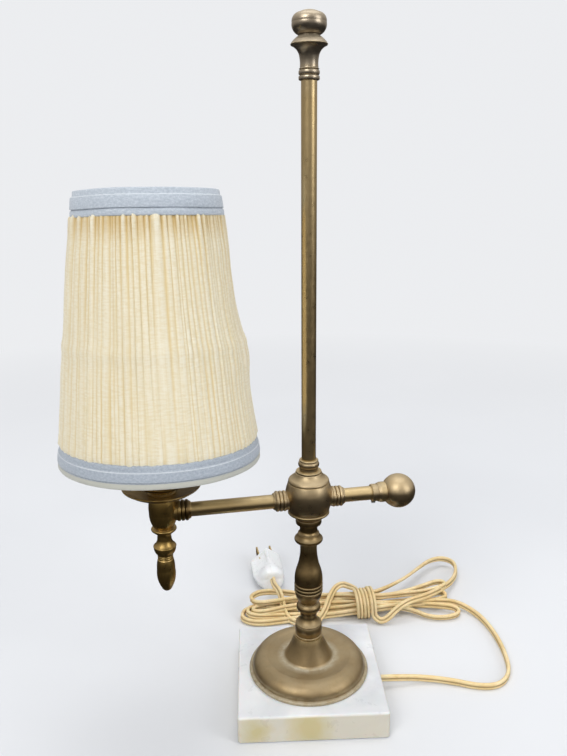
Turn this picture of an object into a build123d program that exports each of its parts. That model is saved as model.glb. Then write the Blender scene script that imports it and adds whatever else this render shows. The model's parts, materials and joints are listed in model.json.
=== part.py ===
from build123d import *

import math
import os

# Bouillotte lamp: a square marble base, a turned brass column with a tall rod, and one arm that
# carries a candle cup, a bulb and a clip-on pleated shade at one end and a ball at the other.
# Millimetres, +Z up. The origin is on the table, under the column, and +X points along the side of
# the marble. ARM_YAW turns the arm, its socket and its shade about the column.

# ---- Fits -------------------------------------------------------------------------------------
RUNNING_GAP = 0.06          # radial, where a shaft turns in a hole
THREAD_GAP = 0.05           # radial, where a thread or a push fit holds
SLIP_GAP = 0.15             # radial, where a turned piece is threaded over the centre pipe
FACE_GAP = 0.05             # between faces that slide on each other
SOFT_GAP = 0.30             # round soft or fragile things

# ---- Base -------------------------------------------------------------------------------------
FELT_SIDE = 95.0
FELT_THICKNESS = 0.8
MARBLE_SIDE = 101.6
MARBLE_THICKNESS = 19.05
MARBLE_CORNER_R = 2.2
MARBLE_EDGE_R = 1.6
NUT_WELL_R = 17.0
MARBLE_WEB = 7.0            # marble left above the nut well
CORD_HOLE_R = 3.6
CORD_EXIT_Z = 7.5

# ---- Centre pipe and its fittings ---------------------------------------------------------------
PIPE_R = 3.175
PIPE_BORE_R = 2.35
PIPE_TAIL = 4.2             # pipe below the base washer
PIPE_HEAD = 3.4             # pipe above the floor of the cluster body
BASE_WASHER_R = 12.0
BASE_WASHER_THICKNESS = 1.5
BASE_NUT_FLATS = 11.0
BASE_NUT_THICKNESS = 3.2
PIVOT_NUT_FLATS = 9.5
PIVOT_NUT_THICKNESS = 2.6
FRICTION_WASHER_R = 11.0
FRICTION_WASHER_THICKNESS = 0.35

# ---- Column, from the foot up -------------------------------------------------------------------
FOOT_R = 42.5
FOOT_HEIGHT = 27.2
FOOT_WALL = 1.0
FOOT_CREST_R = 31.0
FOOT_CREST_HEIGHT = 11.6
FOOT_DISH_DEPTH = 1.6
FOOT_FLARE_R = 18.7
FOOT_NECK_R = 10.1
COLLAR_R = 9.7
COLLAR_HEIGHT = 19.6
COLLAR_NECK_R = 5.8
KNOP_R = 8.5
KNOP_HEIGHT = 6.6
VASE_R = 9.85
VASE_NECK_R = 5.8
VASE_HEIGHT = 47.05
CUP_R = 9.85
CUP_NECK_R = 6.05
CUP_HEIGHT = 13.9
PLATE_R = 14.1
PLATE_RING_R = 8.95
PLATE_HEIGHT = 9.65

# ---- Cluster body, cap, rod and finial ----------------------------------------------------------
BODY_R = 15.87
BODY_HEIGHT = 20.7
BODY_FOOT_R = 13.6
BODY_SEAM_R = 13.9
BODY_FLOOR = 2.4
BODY_CAVITY_R = 11.6
ARM_HEIGHT_IN_BODY = 8.15
CAP_HEIGHT = 8.1
CAP_NECK_R = 8.6
CAP_SPIGOT = 3.0
NECK_RING_R = 7.05
NECK_RING_HEIGHT = 7.95
ROD_SOCKET_DEPTH = 3.0
ROD_R = 4.7625
ROD_LENGTH = 238.2
ROD_NIPPLE_LENGTH = 26.0
FINIAL_COLLAR_R = 6.2
FINIAL_COLLAR_HEIGHT = 7.2
FINIAL_SPIGOT = 16.0
FINIAL_STEM_R = 5.4
FINIAL_STEM_HEIGHT = 12.0
FINIAL_DISC_R = 10.9
FINIAL_BEVEL_HEIGHT = 5.1
FINIAL_BALL_R = 10.05
FINIAL_BALL_HEIGHT = 13.3

# ---- Arm ------------------------------------------------------------------------------------------
ARM_YAW = 8.5
ARM_REACH = 97.5            # column axis to candle cup axis
TUBE_R = 4.7625
TUBE_BORE_R = 3.75
ARM_COLLAR_R = 6.9
BODY_COLLAR_LENGTH = 8.6
BARREL_COLLAR_LENGTH = 9.0
BALL_R = 11.75
BALL_WALL = 1.2
BALL_REACH = 63.5           # column axis to the middle of the ball
BALL_COLLAR_LENGTH = 8.2
BALL_STUD_LENGTH = 9.0
SET_SCREW_R = 1.5
SET_SCREW_LENGTH = 2.4

# ---- Candle cup -------------------------------------------------------------------------------------
BARREL_R = 9.1
BARREL_TOP_R = 7.4
BARREL_FOOT_R = 6.7
BARREL_HEIGHT = 23.5
BARREL_BELOW_ARM = 10.4
BARREL_CAVITY_R = 4.4
BARREL_THREAD_DEPTH = 4.6
BARREL_FLOOR = 4.4
RING_R = 8.35
RING_HEIGHT = 3.8
KNOB_R = 7.6
KNOB_NECK_R = 4.6
KNOB_HEIGHT = 19.3
DROP_R = 6.1
DROP_HEIGHT = 24.0
DROP_STUD_R = 1.9
DROP_STUD_LENGTH = KNOB_HEIGHT + RING_HEIGHT + BARREL_FLOOR
NIPPLE_R = 5.14
NIPPLE_BORE_R = 3.3
NIPPLE_LENGTH = 11.6
DISH_R = 25.4
DISH_DEPTH = 6.2
DISH_FLOOR_R = 10.0
DISH_WALL = 0.9
SEAT_RING_R = 9.4
SEAT_RING_HEIGHT = 1.4

# ---- Lamp socket, switch and bulb -------------------------------------------------------------------
SOCKET_CAP_NECK_R = 8.2
SOCKET_CAP_NECK_HEIGHT = 3.9
SOCKET_CAP_HEIGHT = 11.3
SOCKET_CAP_R = 17.2
SOCKET_WALL = 0.6
SOCKET_CAP_FLOOR = 2.4
SOCKET_LAP = 5.0            # how far the shell goes into the cap
SOCKET_SHELL_HEIGHT = 38.0
SLEEVE_WALL = 0.7
CORE_FLOOR = 13.5
CORE_HEIGHT = 36.0
SCREW_SHELL_WALL = 0.4
CONTACT_R = 3.2
CONTACT_THICKNESS = 1.2
BULB_BASE_R = 13.1
BULB_BASE_HEIGHT = 24.5
BULB_R = 22.5
BULB_GLASS_HEIGHT = 49.5
BULB_NECK_R = 12.4
BULB_WALL = 0.8
SWITCH_HEIGHT_IN_CORE = 8.0
SWITCH_SHAFT_R = 1.6
SWITCH_SHAFT_INSIDE = 6.0   # socket axis to the inner end of the shaft
SWITCH_KNOB_START = 17.9
SWITCH_KNOB_LENGTH = 15.0
SWITCH_KNOB_R = 4.2
SWITCH_KEY_WIDTH = 12.5
SWITCH_KEY_THICKNESS = 4.4
LEAD_R = 0.95
LEAD_SPACING = 2.1
LEAD_BEND_R = 2.4

# ---- Shade ------------------------------------------------------------------------------------------
SHADE_TILT = -3.5           # the shade leans back on its clip
SHADE_TOP_R = 40.6
SHADE_BOTTOM_R = 62.6
SHADE_ABOVE_PIVOT = 90.9
SHADE_BELOW_PIVOT = 74.7
FABRIC_THICKNESS = 1.2
LINING_THICKNESS = 0.6
TRIM_THICKNESS = 0.9
TRIM_HEIGHT = 14.4
FRAME_WIRE_R = 1.1
RIB_WIRE_R = 0.9
RIB_COUNT = 8
RING_INSET = 3.0            # top and bottom rings from the edges of the fabric
CROSS_BAR_R = 1.0
CLIP_WIRE_R = 0.8
CLIP_HOOP_SPACING = 14.0
CLIP_HOOP_OPEN = 62.0       # degrees left open on each side of straight down
CLIP_SLEEVE_R = 1.9
CLIP_SLEEVE_LENGTH = 20.0

# ---- Supply cord --------------------------------------------------------------------------------------
CORD_WIDTH = 5.4            # flat two-core cord: the width stands for its diameter
CORD_FLOOR = CORD_WIDTH / 2
CORD_INNER_END_X = 12.0
ARC_SHARE = 0.45            # share of the shorter run that a bend takes up
SUPPLY_ROUTE = [
    (64.0, 0.4, 7.2),
    (84.0, 3.2, 4.2),
    (106.0, -0.4, 3.1),
    (124.0, -7.4, CORD_FLOOR),
    (140.0, -7.0, CORD_FLOOR),
    (151.0, 5.5, CORD_FLOOR),
    (155.0, 22.0, CORD_FLOOR),
    (156.5, 45.0, 2.8),
    (154.5, 66.0, 3.0),
    (149.0, 84.0, 3.4),
    (136.5, 97.5, 5.2),
    (120.0, 97.5, 7.4),
    (98.6, 92.0, 9.4),
]
LOOP_ROUTE = [
    (80.0, 111.5, 14.5),
    (97.0, 128.0, 12.0),
    (113.0, 146.5, 10.6),
    (127.0, 162.5, 9.0),
    (141.5, 169.5, 7.4),
    (151.0, 162.0, 6.8),
    (149.5, 147.0, 6.4),
    (141.0, 129.0, 6.8),
    (124.0, 110.0, 10.0),
    (106.5, 92.5, 15.0),
]
PLUG_LEAD_ROUTE = [
    (-21.4, 133.0, 12.2),
    (-19.8, 124.0, 12.8),
    (-18.0, 113.5, 13.4),
    (-15.0, 103.0, 11.0),
]
# Hank: stations along X, each with its middle in Y, its width and its height
HANK_STATIONS = [
    (-51.5, 91.5, 12.0, 7.0),
    (-38.0, 97.5, 37.0, 14.0),
    (0.0, 98.5, 33.0, 15.5),
    (42.0, 94.0, 23.0, 21.0),
    (64.0, 92.5, 24.0, 22.5),
    (92.0, 97.0, 28.0, 18.0),
    (122.0, 98.5, 40.0, 15.0),
    (133.5, 96.0, 24.0, 9.0),
]
HANK_CLEARANCE = 0.1        # hank above the table

# ---- Plug -----------------------------------------------------------------------------------------------
PLUG_LENGTH = 42.0
PLUG_WIDTH = 30.5
PLUG_HEIGHT = 20.5
PLUG_RIDGE = 5.5
PLUG_HEEL_SHARE = 0.7      # size of the cord end against the blade end
PLUG_HEEL_LENGTH = 12.0
PLUG_YAW = 8.0
PLUG_RECESS_SHARE = 0.8     # size of the hollow in the blade end against that end
PLUG_RECESS_DEPTH = 1.2
BLADE_LENGTH = 17.0
BLADE_ROOT = 6.0
BLADE_WIDTH = 6.4
BLADE_THICKNESS = 1.5
BLADE_SPACING = 12.7

# ---- Places that follow from the sizes above -----------------------------------------------------------
MARBLE_TOP = FELT_THICKNESS + MARBLE_THICKNESS
WELL_CEILING = MARBLE_TOP - MARBLE_WEB
COLLAR_Z = MARBLE_TOP + FOOT_HEIGHT
KNOP_Z = COLLAR_Z + COLLAR_HEIGHT
VASE_Z = KNOP_Z + KNOP_HEIGHT
CUP_Z = VASE_Z + VASE_HEIGHT
PLATE_Z = CUP_Z + CUP_HEIGHT
WASHER_Z = PLATE_Z + PLATE_HEIGHT
BODY_Z = WASHER_Z + FRICTION_WASHER_THICKNESS + FACE_GAP
CAP_Z = BODY_Z + BODY_HEIGHT
NECK_RING_Z = CAP_Z + CAP_HEIGHT
ROD_Z = NECK_RING_Z + NECK_RING_HEIGHT - ROD_SOCKET_DEPTH
FINIAL_COLLAR_Z = ROD_Z + ROD_LENGTH
FINIAL_Z = FINIAL_COLLAR_Z + FINIAL_COLLAR_HEIGHT
PIPE_Z = WELL_CEILING - BASE_WASHER_THICKNESS - PIPE_TAIL
PIPE_TOP = BODY_Z + BODY_FLOOR + PIPE_HEAD
ROD_BORE_R = PIPE_R + THREAD_GAP
ARM_Z = BODY_Z + ARM_HEIGHT_IN_BODY
BARREL_Z = ARM_Z - BARREL_BELOW_ARM
RING_Z = BARREL_Z - RING_HEIGHT
KNOB_Z = RING_Z - KNOB_HEIGHT
DROP_Z = KNOB_Z - DROP_HEIGHT
DISH_Z = BARREL_Z + BARREL_HEIGHT
SEAT_RING_Z = DISH_Z + DISH_WALL
SOCKET_CAP_Z = SEAT_RING_Z + SEAT_RING_HEIGHT
SHELL_R = SOCKET_CAP_R - SOCKET_WALL - THREAD_GAP
SHELL_Z = SOCKET_CAP_Z + SOCKET_CAP_HEIGHT - SOCKET_LAP
SLEEVE_R = SHELL_R - SOCKET_WALL - THREAD_GAP
CORE_R = SLEEVE_R - SLEEVE_WALL - THREAD_GAP
SCREW_SHELL_R = BULB_BASE_R + THREAD_GAP + SCREW_SHELL_WALL
CORE_BORE_R = SCREW_SHELL_R + THREAD_GAP
CORE_Z = SHELL_Z + SOCKET_WALL
CONTACT_Z = CORE_Z + CORE_FLOOR
BULB_BASE_Z = CONTACT_Z + CONTACT_THICKNESS
BULB_Z = BULB_BASE_Z + BULB_BASE_HEIGHT
BULB_CENTRE_Z = BULB_Z + BULB_GLASS_HEIGHT - BULB_R
SWITCH_Z = CORE_Z + SWITCH_HEIGHT_IN_CORE
HOOP_R = math.sqrt((BULB_R + SOFT_GAP + CLIP_WIRE_R) ** 2 - (CLIP_HOOP_SPACING / 2) ** 2)
SHADE_PIVOT_Z = BULB_CENTRE_Z + HOOP_R + CLIP_SLEEVE_R + CLIP_WIRE_R / 2
CORD_R = CORD_WIDTH / 2

# Frames: ARM has its X along the arm and its origin on the column at the arm's height. SCONCE is
# upright through the candle cup, at table height. SHADE is tilted about the cross-bar on the clip.
# SWITCH has its Z along the switch shaft, away from the column.
ARM_TURN = Rot(0, 0, ARM_YAW)
ARM = Pos(0, 0, ARM_Z) * ARM_TURN
SCONCE = ARM_TURN * Pos(-ARM_REACH, 0, 0)
SHADE = SCONCE * Pos(0, 0, SHADE_PIVOT_Z) * Rot(SHADE_TILT, 0, 0)



def outward(side):
    """Frame on the arm whose Z points away from the column, to the ball (1) or the shade (-1)."""
    return ARM * Rot(0, 90 * side, 0)


BODY_LEFT = outward(-1) * Pos(0, 0, BODY_R)
BODY_RIGHT = outward(1) * Pos(0, 0, BODY_R)
SWITCH = outward(-1) * Pos(SWITCH_Z - ARM_Z, 0, ARM_REACH)
BARREL_SIDE = outward(-1) * Pos(0, 0, ARM_REACH - BARREL_R) * Rot(180, 0, 0)

NODES = {}


# ---- Shared shapes --------------------------------------------------------------------------------------
def turned(outline, bore=0.0):
    """Turn a half outline about Z. A cut is (radius, height), or (radius, height, bulge) for an arc
    that stands out by bulge, or in where it is negative."""
    edges = []
    for start, cut in zip(outline, outline[1:]):
        foot = Vector(start[0], 0, start[1])
        head = Vector(cut[0], 0, cut[1])
        if len(cut) == 2:
            edges.append(Line(foot, head))
            continue
        along = (head - foot).normalized()
        outward = Vector(along.Z, 0, -along.X)
        edges.append(ThreePointArc(foot, (foot + head) * 0.5 + outward * cut[2], head))
    first = Vector(outline[0][0], 0, outline[0][1])
    last = Vector(outline[-1][0], 0, outline[-1][1])
    inner_head = Vector(bore, 0, last.Z)
    inner_foot = Vector(bore, 0, first.Z)
    corners = [last, inner_head, inner_foot, first]
    for a, b in zip(corners, corners[1:]):
        if (b - a).length > 1e-6:
            edges.append(Line(a, b))
    return revolve(make_face(edges), axis=Axis.Z)


def dome(radius, height):
    """Bulge of an arc that leaves the axis square and is at radius when it has come up by height."""
    chord = math.hypot(radius, height)
    sphere_r = chord ** 2 / (2 * height)
    return sphere_r - math.sqrt(sphere_r ** 2 - chord ** 2 / 4)


def cylinder(radius, height, z=0.0):
    return Pos(0, 0, z) * Cylinder(radius, height, align=(Align.CENTER, Align.CENTER, Align.MIN))


def pipe(radius, bore, height, z=0.0):
    return cylinder(radius, height, z) - cylinder(bore, height, z)


def hex_nut(flats, thickness, bore):
    blank = extrude(RegularPolygon(flats / 2, 6, major_radius=False), thickness)
    return blank - cylinder(bore, thickness)


def route_radii(points):
    """One bend radius for each corner of a cord's route."""
    radii = []
    for before, corner, after in zip(points, points[1:], points[2:]):
        arriving = Vector(*corner) - Vector(*before)
        leaving = Vector(*after) - Vector(*corner)
        half_turn = math.radians(arriving.get_angle(leaving)) / 2
        shorter = min(arriving.length, leaving.length)
        radii.append(ARC_SHARE * shorter / math.tan(half_turn))
    return radii


def cord_tube(name, points):
    radii = route_radii(points)
    path = FilletPolyline(*points, radius=radii)
    start = Plane(origin=path @ 0, z_dir=path % 0)
    tube = sweep(start * Circle(CORD_R), path=path)
    expected = math.pi * CORD_R ** 2 * path.length
    print(name, "length", round(path.length, 1), "radii", [round(r, 1) for r in radii],
          "volume ratio", round(tube.volume / expected, 4))
    return tube


# ---- Base -----------------------------------------------------------------------------------------------
def felt_pad():
    return extrude(RectangleRounded(FELT_SIDE, FELT_SIDE, MARBLE_CORNER_R), FELT_THICKNESS)


def marble_base():
    slab = extrude(RectangleRounded(MARBLE_SIDE, MARBLE_SIDE, MARBLE_CORNER_R), MARBLE_THICKNESS)
    slab = fillet(slab.faces().sort_by(Axis.Z)[-1].edges(), MARBLE_EDGE_R)
    slab = Pos(0, 0, FELT_THICKNESS) * slab
    slab -= cylinder(NUT_WELL_R, WELL_CEILING - FELT_THICKNESS, FELT_THICKNESS)
    slab -= cylinder(PIPE_R + SLIP_GAP, MARBLE_THICKNESS, FELT_THICKNESS)
    channel = Pos(0, 0, CORD_EXIT_Z) * Rot(0, 90, 0) * cylinder(CORD_HOLE_R, MARBLE_SIDE / 2)
    return slab - channel


def foot_outline(inset):
    """Outside of the spun foot, or its inside at a distance inset under the skin."""
    rim = FOOT_R - inset
    crest = FOOT_CREST_HEIGHT - inset
    dish = crest - FOOT_DISH_DEPTH
    return [
        (rim - 0.5, 0.0),
        (rim, 0.9, 0.1),
        (rim - 0.5, 2.5 - inset / 2, 0.3),
        (rim - 2.2, 2.6 - inset / 2),
        (FOOT_CREST_R - inset / 2, crest, 2.5),
        (FOOT_CREST_R - 2.6, crest - 0.35, 0.2),
        (FOOT_FLARE_R, dish, -0.35),
        (FOOT_FLARE_R - 2.1 - inset, dish + 1.6, -0.3),
        (FOOT_NECK_R - inset, FOOT_HEIGHT - inset, -0.35),
    ]


def foot():
    bore = PIPE_R + SLIP_GAP
    shell = turned(foot_outline(0), bore) - turned(foot_outline(FOOT_WALL), bore)
    return Pos(0, 0, MARBLE_TOP) * shell


# ---- Column -----------------------------------------------------------------------------------------------
def foot_collar():
    """Bead over a base ring, with a hollow neck above it."""
    r = COLLAR_R
    bead_top = COLLAR_HEIGHT - 10.7
    neck = COLLAR_HEIGHT - 2.6
    outline = [
        (r - 0.3, 0.0),
        (r, 0.3),
        (r, 1.3),
        (r - 0.7, 1.7),
        (r - 0.7, 2.2),
        (r - 0.6, bead_top, 0.6),
        (r - 1.2, bead_top + 0.4),
        (r - 0.5, bead_top + 0.9),
        (r - 0.7, bead_top + 1.5, 0.1),
        (COLLAR_NECK_R, neck, -1.1),
        (COLLAR_NECK_R, COLLAR_HEIGHT - 0.8),
        (COLLAR_NECK_R + 0.6, COLLAR_HEIGHT),
    ]
    return Pos(0, 0, COLLAR_Z) * turned(outline, PIPE_R + SLIP_GAP)


def knop():
    outline = [
        (COLLAR_NECK_R + 0.6, 0.0),
        (KNOP_R - 1.0, 0.6, -0.1),
        (KNOP_R - 1.1, KNOP_HEIGHT - 0.7, 1.05),
        (KNOP_R - 1.4, KNOP_HEIGHT - 0.3),
        (VASE_NECK_R + 0.4, KNOP_HEIGHT),
    ]
    return Pos(0, 0, KNOP_Z) * turned(outline, PIPE_R + SLIP_GAP)


def vase():
    """Baluster vase with three raised rings round its belly."""
    pitch = 2.55
    first = 9.7
    outline = [(VASE_NECK_R + 0.4, 0.0), (VASE_R - 0.25, first - 1.1, 0.6)]
    for i in range(3):
        z = first + i * pitch
        outline += [
            (VASE_R - 0.35, z - 0.75),
            (VASE_R + 0.05, z - 0.4),
            (VASE_R + 0.05, z + 0.4, 0.1),
            (VASE_R - 0.35, z + 0.75),
        ]
    belly = first + 2 * pitch + 1.4
    middle = (belly + VASE_HEIGHT - 6.0) / 2 - 1.5
    outline += [
        (VASE_R - 0.05, belly),
        ((VASE_R + VASE_NECK_R) / 2 + 0.5, middle, 0.55),
        (VASE_NECK_R, VASE_HEIGHT - 6.0, -0.55),
        (VASE_NECK_R, VASE_HEIGHT),
    ]
    return Pos(0, 0, VASE_Z) * turned(outline, PIPE_R + SLIP_GAP)


def flared_cup():
    """Cup turned mouth down over the vase, with a fillet ring and a hollow neck above it."""
    ring = 6.4
    outline = [
        (VASE_NECK_R, 0.0),
        (CUP_R - 1.3, 0.4),
        (CUP_R - 0.2, 3.2, 0.6),
        (CUP_NECK_R + 1.4, ring, -0.35),
        (CUP_NECK_R + 1.0, ring + 0.3),
        (CUP_NECK_R + 1.2, ring + 0.7),
        (CUP_NECK_R, ring + 2.8, -0.3),
        (CUP_NECK_R, CUP_HEIGHT - 1.6),
        (CUP_NECK_R + 1.1, CUP_HEIGHT, -0.2),
    ]
    return Pos(0, 0, CUP_Z) * turned(outline, PIPE_R + SLIP_GAP)


def bearing_plate():
    """Plate with a ring under it, that the cluster body turns on."""
    ring_top = 3.5
    outline = [
        (CUP_NECK_R + 1.1, 0.0),
        (PLATE_RING_R - 0.3, 0.3),
        (PLATE_RING_R - 0.2, ring_top, 0.2),
        (PLATE_RING_R - 0.8, ring_top + 0.5),
        (PLATE_R - 0.5, PLATE_HEIGHT - 1.5, -0.7),
        (PLATE_R, PLATE_HEIGHT - 1.2),
        (PLATE_R, PLATE_HEIGHT - 0.4),
        (PLATE_R - 0.4, PLATE_HEIGHT),
    ]
    return Pos(0, 0, PLATE_Z) * turned(outline, PIPE_R + SLIP_GAP)


def friction_washer():
    return pipe(FRICTION_WASHER_R, PIPE_R + SLIP_GAP, FRICTION_WASHER_THICKNESS, WASHER_Z)


def centre_pipe():
    return pipe(PIPE_R, PIPE_BORE_R, PIPE_TOP - PIPE_Z, PIPE_Z)


def base_washer():
    z = WELL_CEILING - BASE_WASHER_THICKNESS
    return pipe(BASE_WASHER_R, PIPE_R + SLIP_GAP, BASE_WASHER_THICKNESS, z)


def base_nut():
    z = WELL_CEILING - BASE_WASHER_THICKNESS - BASE_NUT_THICKNESS
    return Pos(0, 0, z) * hex_nut(BASE_NUT_FLATS, BASE_NUT_THICKNESS, PIPE_R + THREAD_GAP)


def pivot_nut():
    z = BODY_Z + BODY_FLOOR + FACE_GAP
    return Pos(0, 0, z) * hex_nut(PIVOT_NUT_FLATS, PIVOT_NUT_THICKNESS, PIPE_R + THREAD_GAP)


# ---- Cluster body, rod and finial ---------------------------------------------------------------------------
def body_form():
    """Outside of the cluster body, which the arm collars are cut to."""
    swell = BODY_R - (BODY_FOOT_R + BODY_SEAM_R) / 2
    outline = [
        (BODY_FOOT_R - 0.4, 0.0),
        (BODY_FOOT_R, 0.4),
        (BODY_SEAM_R, BODY_HEIGHT - 0.35, swell),
        (BODY_SEAM_R - 0.35, BODY_HEIGHT),
    ]
    return Pos(0, 0, BODY_Z) * turned(outline)


def cluster_body():
    cavity_height = BODY_HEIGHT - BODY_FLOOR
    body = body_form() - cylinder(BODY_CAVITY_R, cavity_height, BODY_Z + BODY_FLOOR)
    body -= cylinder(PIPE_R + RUNNING_GAP, BODY_FLOOR, BODY_Z)
    cross_hole = cylinder(TUBE_R + THREAD_GAP, 4 * BODY_R, -2 * BODY_R)
    return body - outward(1) * cross_hole


def body_cap():
    outline = [
        (BODY_SEAM_R - 0.35, 0.0),
        (BODY_SEAM_R - 0.05, 0.4),
        (BODY_SEAM_R - 1.5, 2.7, 0.4),
        (CAP_NECK_R + 0.4, CAP_HEIGHT - 1.6, -0.45),
        (CAP_NECK_R, CAP_HEIGHT - 1.3),
        (CAP_NECK_R, CAP_HEIGHT - 0.3),
        (CAP_NECK_R - 0.3, CAP_HEIGHT),
    ]
    bore = PIPE_R + THREAD_GAP
    cap = turned(outline, bore) + pipe(BODY_CAVITY_R - THREAD_GAP, bore, CAP_SPIGOT, -CAP_SPIGOT)
    return Pos(0, 0, CAP_Z) * cap


def neck_rings():
    bead = 3.1
    upper = NECK_RING_HEIGHT - 1.3
    outline = [
        (NECK_RING_R - 0.7, 0.0),
        (NECK_RING_R - 0.9, bead - 0.5, -0.1),
        (NECK_RING_R - 0.45, bead),
        (NECK_RING_R - 0.45, upper - 0.4, 0.45),
        (NECK_RING_R - 1.1, upper),
        (NECK_RING_R - 0.75, upper + 0.4),
        (NECK_RING_R - 0.75, upper + 1.0, 0.1),
        (NECK_RING_R - 1.1, NECK_RING_HEIGHT),
    ]
    rings = turned(outline, PIPE_R + THREAD_GAP)
    rings -= cylinder(ROD_R + THREAD_GAP, ROD_SOCKET_DEPTH, NECK_RING_HEIGHT - ROD_SOCKET_DEPTH)
    return Pos(0, 0, NECK_RING_Z) * rings


def rod():
    return pipe(ROD_R, ROD_BORE_R, ROD_LENGTH, ROD_Z)


def rod_nipple():
    return cylinder(PIPE_R, ROD_NIPPLE_LENGTH, CAP_Z - CAP_SPIGOT)


def finial_collar():
    r = FINIAL_COLLAR_R
    pitch = FINIAL_COLLAR_HEIGHT / 2.4
    outline = [(r - 0.9, 0.0)]
    for i in range(2):
        z = 0.3 + i * pitch
        outline += [(r - 0.15, z), (r - 0.15, z + pitch - 1.0, 0.15), (r - 0.8, z + pitch - 0.5)]
    outline += [(r - 0.2, 2 * pitch + 0.3), (r - 0.9, FINIAL_COLLAR_HEIGHT, -0.15)]
    return Pos(0, 0, FINIAL_COLLAR_Z) * turned(outline, PIPE_R + THREAD_GAP)


def finial():
    """Turned finial on a threaded spigot that passes down through its collar into the rod."""
    neck_z = FINIAL_STEM_HEIGHT + FINIAL_BEVEL_HEIGHT
    ball_r = FINIAL_BALL_R
    cap_r = ball_r * 0.62
    cap_height = FINIAL_BALL_HEIGHT * 0.11
    outline = [
        (PIPE_R, -FINIAL_COLLAR_HEIGHT - FINIAL_SPIGOT),
        (PIPE_R, 0.0),
        (FINIAL_STEM_R, 0.0),
        (FINIAL_STEM_R + 0.3, FINIAL_STEM_HEIGHT - 6.5, -0.2),
        (FINIAL_DISC_R - 0.3, FINIAL_STEM_HEIGHT - 0.4, -1.1),
        (FINIAL_DISC_R, FINIAL_STEM_HEIGHT + 0.2),
        (FINIAL_DISC_R - 4.4, neck_z - 0.6, 0.35),
        (FINIAL_DISC_R - 4.6, neck_z),
        (ball_r, neck_z + FINIAL_BALL_HEIGHT * 0.5, 1.4),
        (cap_r, neck_z + FINIAL_BALL_HEIGHT - cap_height, 1.3),
        (0.0, neck_z + FINIAL_BALL_HEIGHT, dome(cap_r, cap_height)),
    ]
    return Pos(0, 0, FINIAL_Z) * turned(outline)


# ---- Arm ----------------------------------------------------------------------------------------------------
def arm_collar(frame, length, saddle):
    """Ringed collar over a tube. Its frame has Z away from the piece that it is cut to."""
    r = ARM_COLLAR_R
    pitch = (length - 1.2) / 3
    lead_in = ARM_COLLAR_R
    outline = [(r - 0.5, -lead_in), (r - 0.5, 0.0)]
    for i in range(3):
        z = 0.3 + i * pitch
        outline += [(r - 0.1, z), (r - 0.1, z + pitch - 0.9, 0.2), (r - 0.8, z + pitch - 0.4)]
    outline += [(TUBE_R + 0.7, length)]
    return frame * turned(outline, TUBE_R + THREAD_GAP) - saddle


def left_tube():
    end = ARM_REACH - NIPPLE_R - SOFT_GAP
    return outward(-1) * pipe(TUBE_R, TUBE_BORE_R, end - BODY_CAVITY_R, BODY_CAVITY_R)


def right_tube():
    end = BALL_REACH - BALL_R - BALL_COLLAR_LENGTH / 2
    return outward(1) * pipe(TUBE_R, TUBE_BORE_R, end - BODY_CAVITY_R, BODY_CAVITY_R)


def ball_form():
    return outward(1) * Pos(0, 0, BALL_REACH) * Sphere(BALL_R)


def ball_collar():
    """Stepped collar that ends the short tube and holds the ball."""
    tube_end = BALL_REACH - BALL_R - BALL_COLLAR_LENGTH / 2
    start = BALL_REACH - BALL_R - BALL_COLLAR_LENGTH
    outline = [
        (TUBE_R + 0.6, 0.0),
        (TUBE_R + 1.2, 0.6),
        (TUBE_R + 1.2, BALL_COLLAR_LENGTH * 0.55),
        (TUBE_R + 1.6, BALL_COLLAR_LENGTH * 0.62, 0.2),
        (TUBE_R + 2.2, BALL_COLLAR_LENGTH * 0.8),
        (TUBE_R + 2.2, BALL_COLLAR_LENGTH + 2.0),
    ]
    collar = turned(outline, PIPE_R + THREAD_GAP)
    collar -= cylinder(TUBE_R + THREAD_GAP, tube_end - start)
    screw_hole = Pos(0, 0, 2.2) * Rot(0, 90, 0) * cylinder(SET_SCREW_R + THREAD_GAP, 2 * TUBE_R)
    collar -= screw_hole
    return outward(1) * Pos(0, 0, start) * collar - ball_form()


def set_screw():
    """Headless screw through the under side of the ball's collar."""
    start = BALL_REACH - BALL_R - BALL_COLLAR_LENGTH
    screw = cylinder(SET_SCREW_R, SET_SCREW_LENGTH)
    slot = Pos(0, 0, SET_SCREW_LENGTH) * Box(0.5, 2 * SET_SCREW_R, 1.2)
    screw = Pos(TUBE_R + THREAD_GAP, 0, 2.2) * Rot(0, 90, 0) * (screw - slot)
    return outward(1) * Pos(0, 0, start) * screw


def end_ball():
    """Hollow ball with the threaded stud that turns into its collar and tube."""
    ball = ball_form() - outward(1) * Pos(0, 0, BALL_REACH) * Sphere(BALL_R - BALL_WALL)
    stud_end = BALL_REACH - BALL_R + BALL_WALL
    return ball + outward(1) * cylinder(PIPE_R, BALL_STUD_LENGTH, stud_end - BALL_STUD_LENGTH)


# ---- Candle cup -------------------------------------------------------------------------------------------------
def barrel_form():
    outline = [
        (BARREL_FOOT_R - 0.4, 0.0),
        (BARREL_FOOT_R, 0.4),
        (BARREL_R, BARREL_BELOW_ARM, 0.75),
        (BARREL_TOP_R, BARREL_HEIGHT - 0.4, 0.75),
        (BARREL_TOP_R - 0.4, BARREL_HEIGHT),
    ]
    return SCONCE * Pos(0, 0, BARREL_Z) * turned(outline)


def sconce_barrel():
    thread_z = DISH_Z - BARREL_THREAD_DEPTH
    barrel = barrel_form()
    barrel -= SCONCE * cylinder(BARREL_CAVITY_R, BARREL_HEIGHT - BARREL_FLOOR, BARREL_Z + BARREL_FLOOR)
    barrel -= SCONCE * cylinder(NIPPLE_R + THREAD_GAP, BARREL_THREAD_DEPTH, thread_z)
    barrel -= SCONCE * cylinder(DROP_STUD_R + THREAD_GAP, BARREL_FLOOR, BARREL_Z)
    barrel -= outward(-1) * cylinder(TUBE_R + THREAD_GAP, BODY_R, ARM_REACH - BODY_R)
    return barrel


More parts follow.
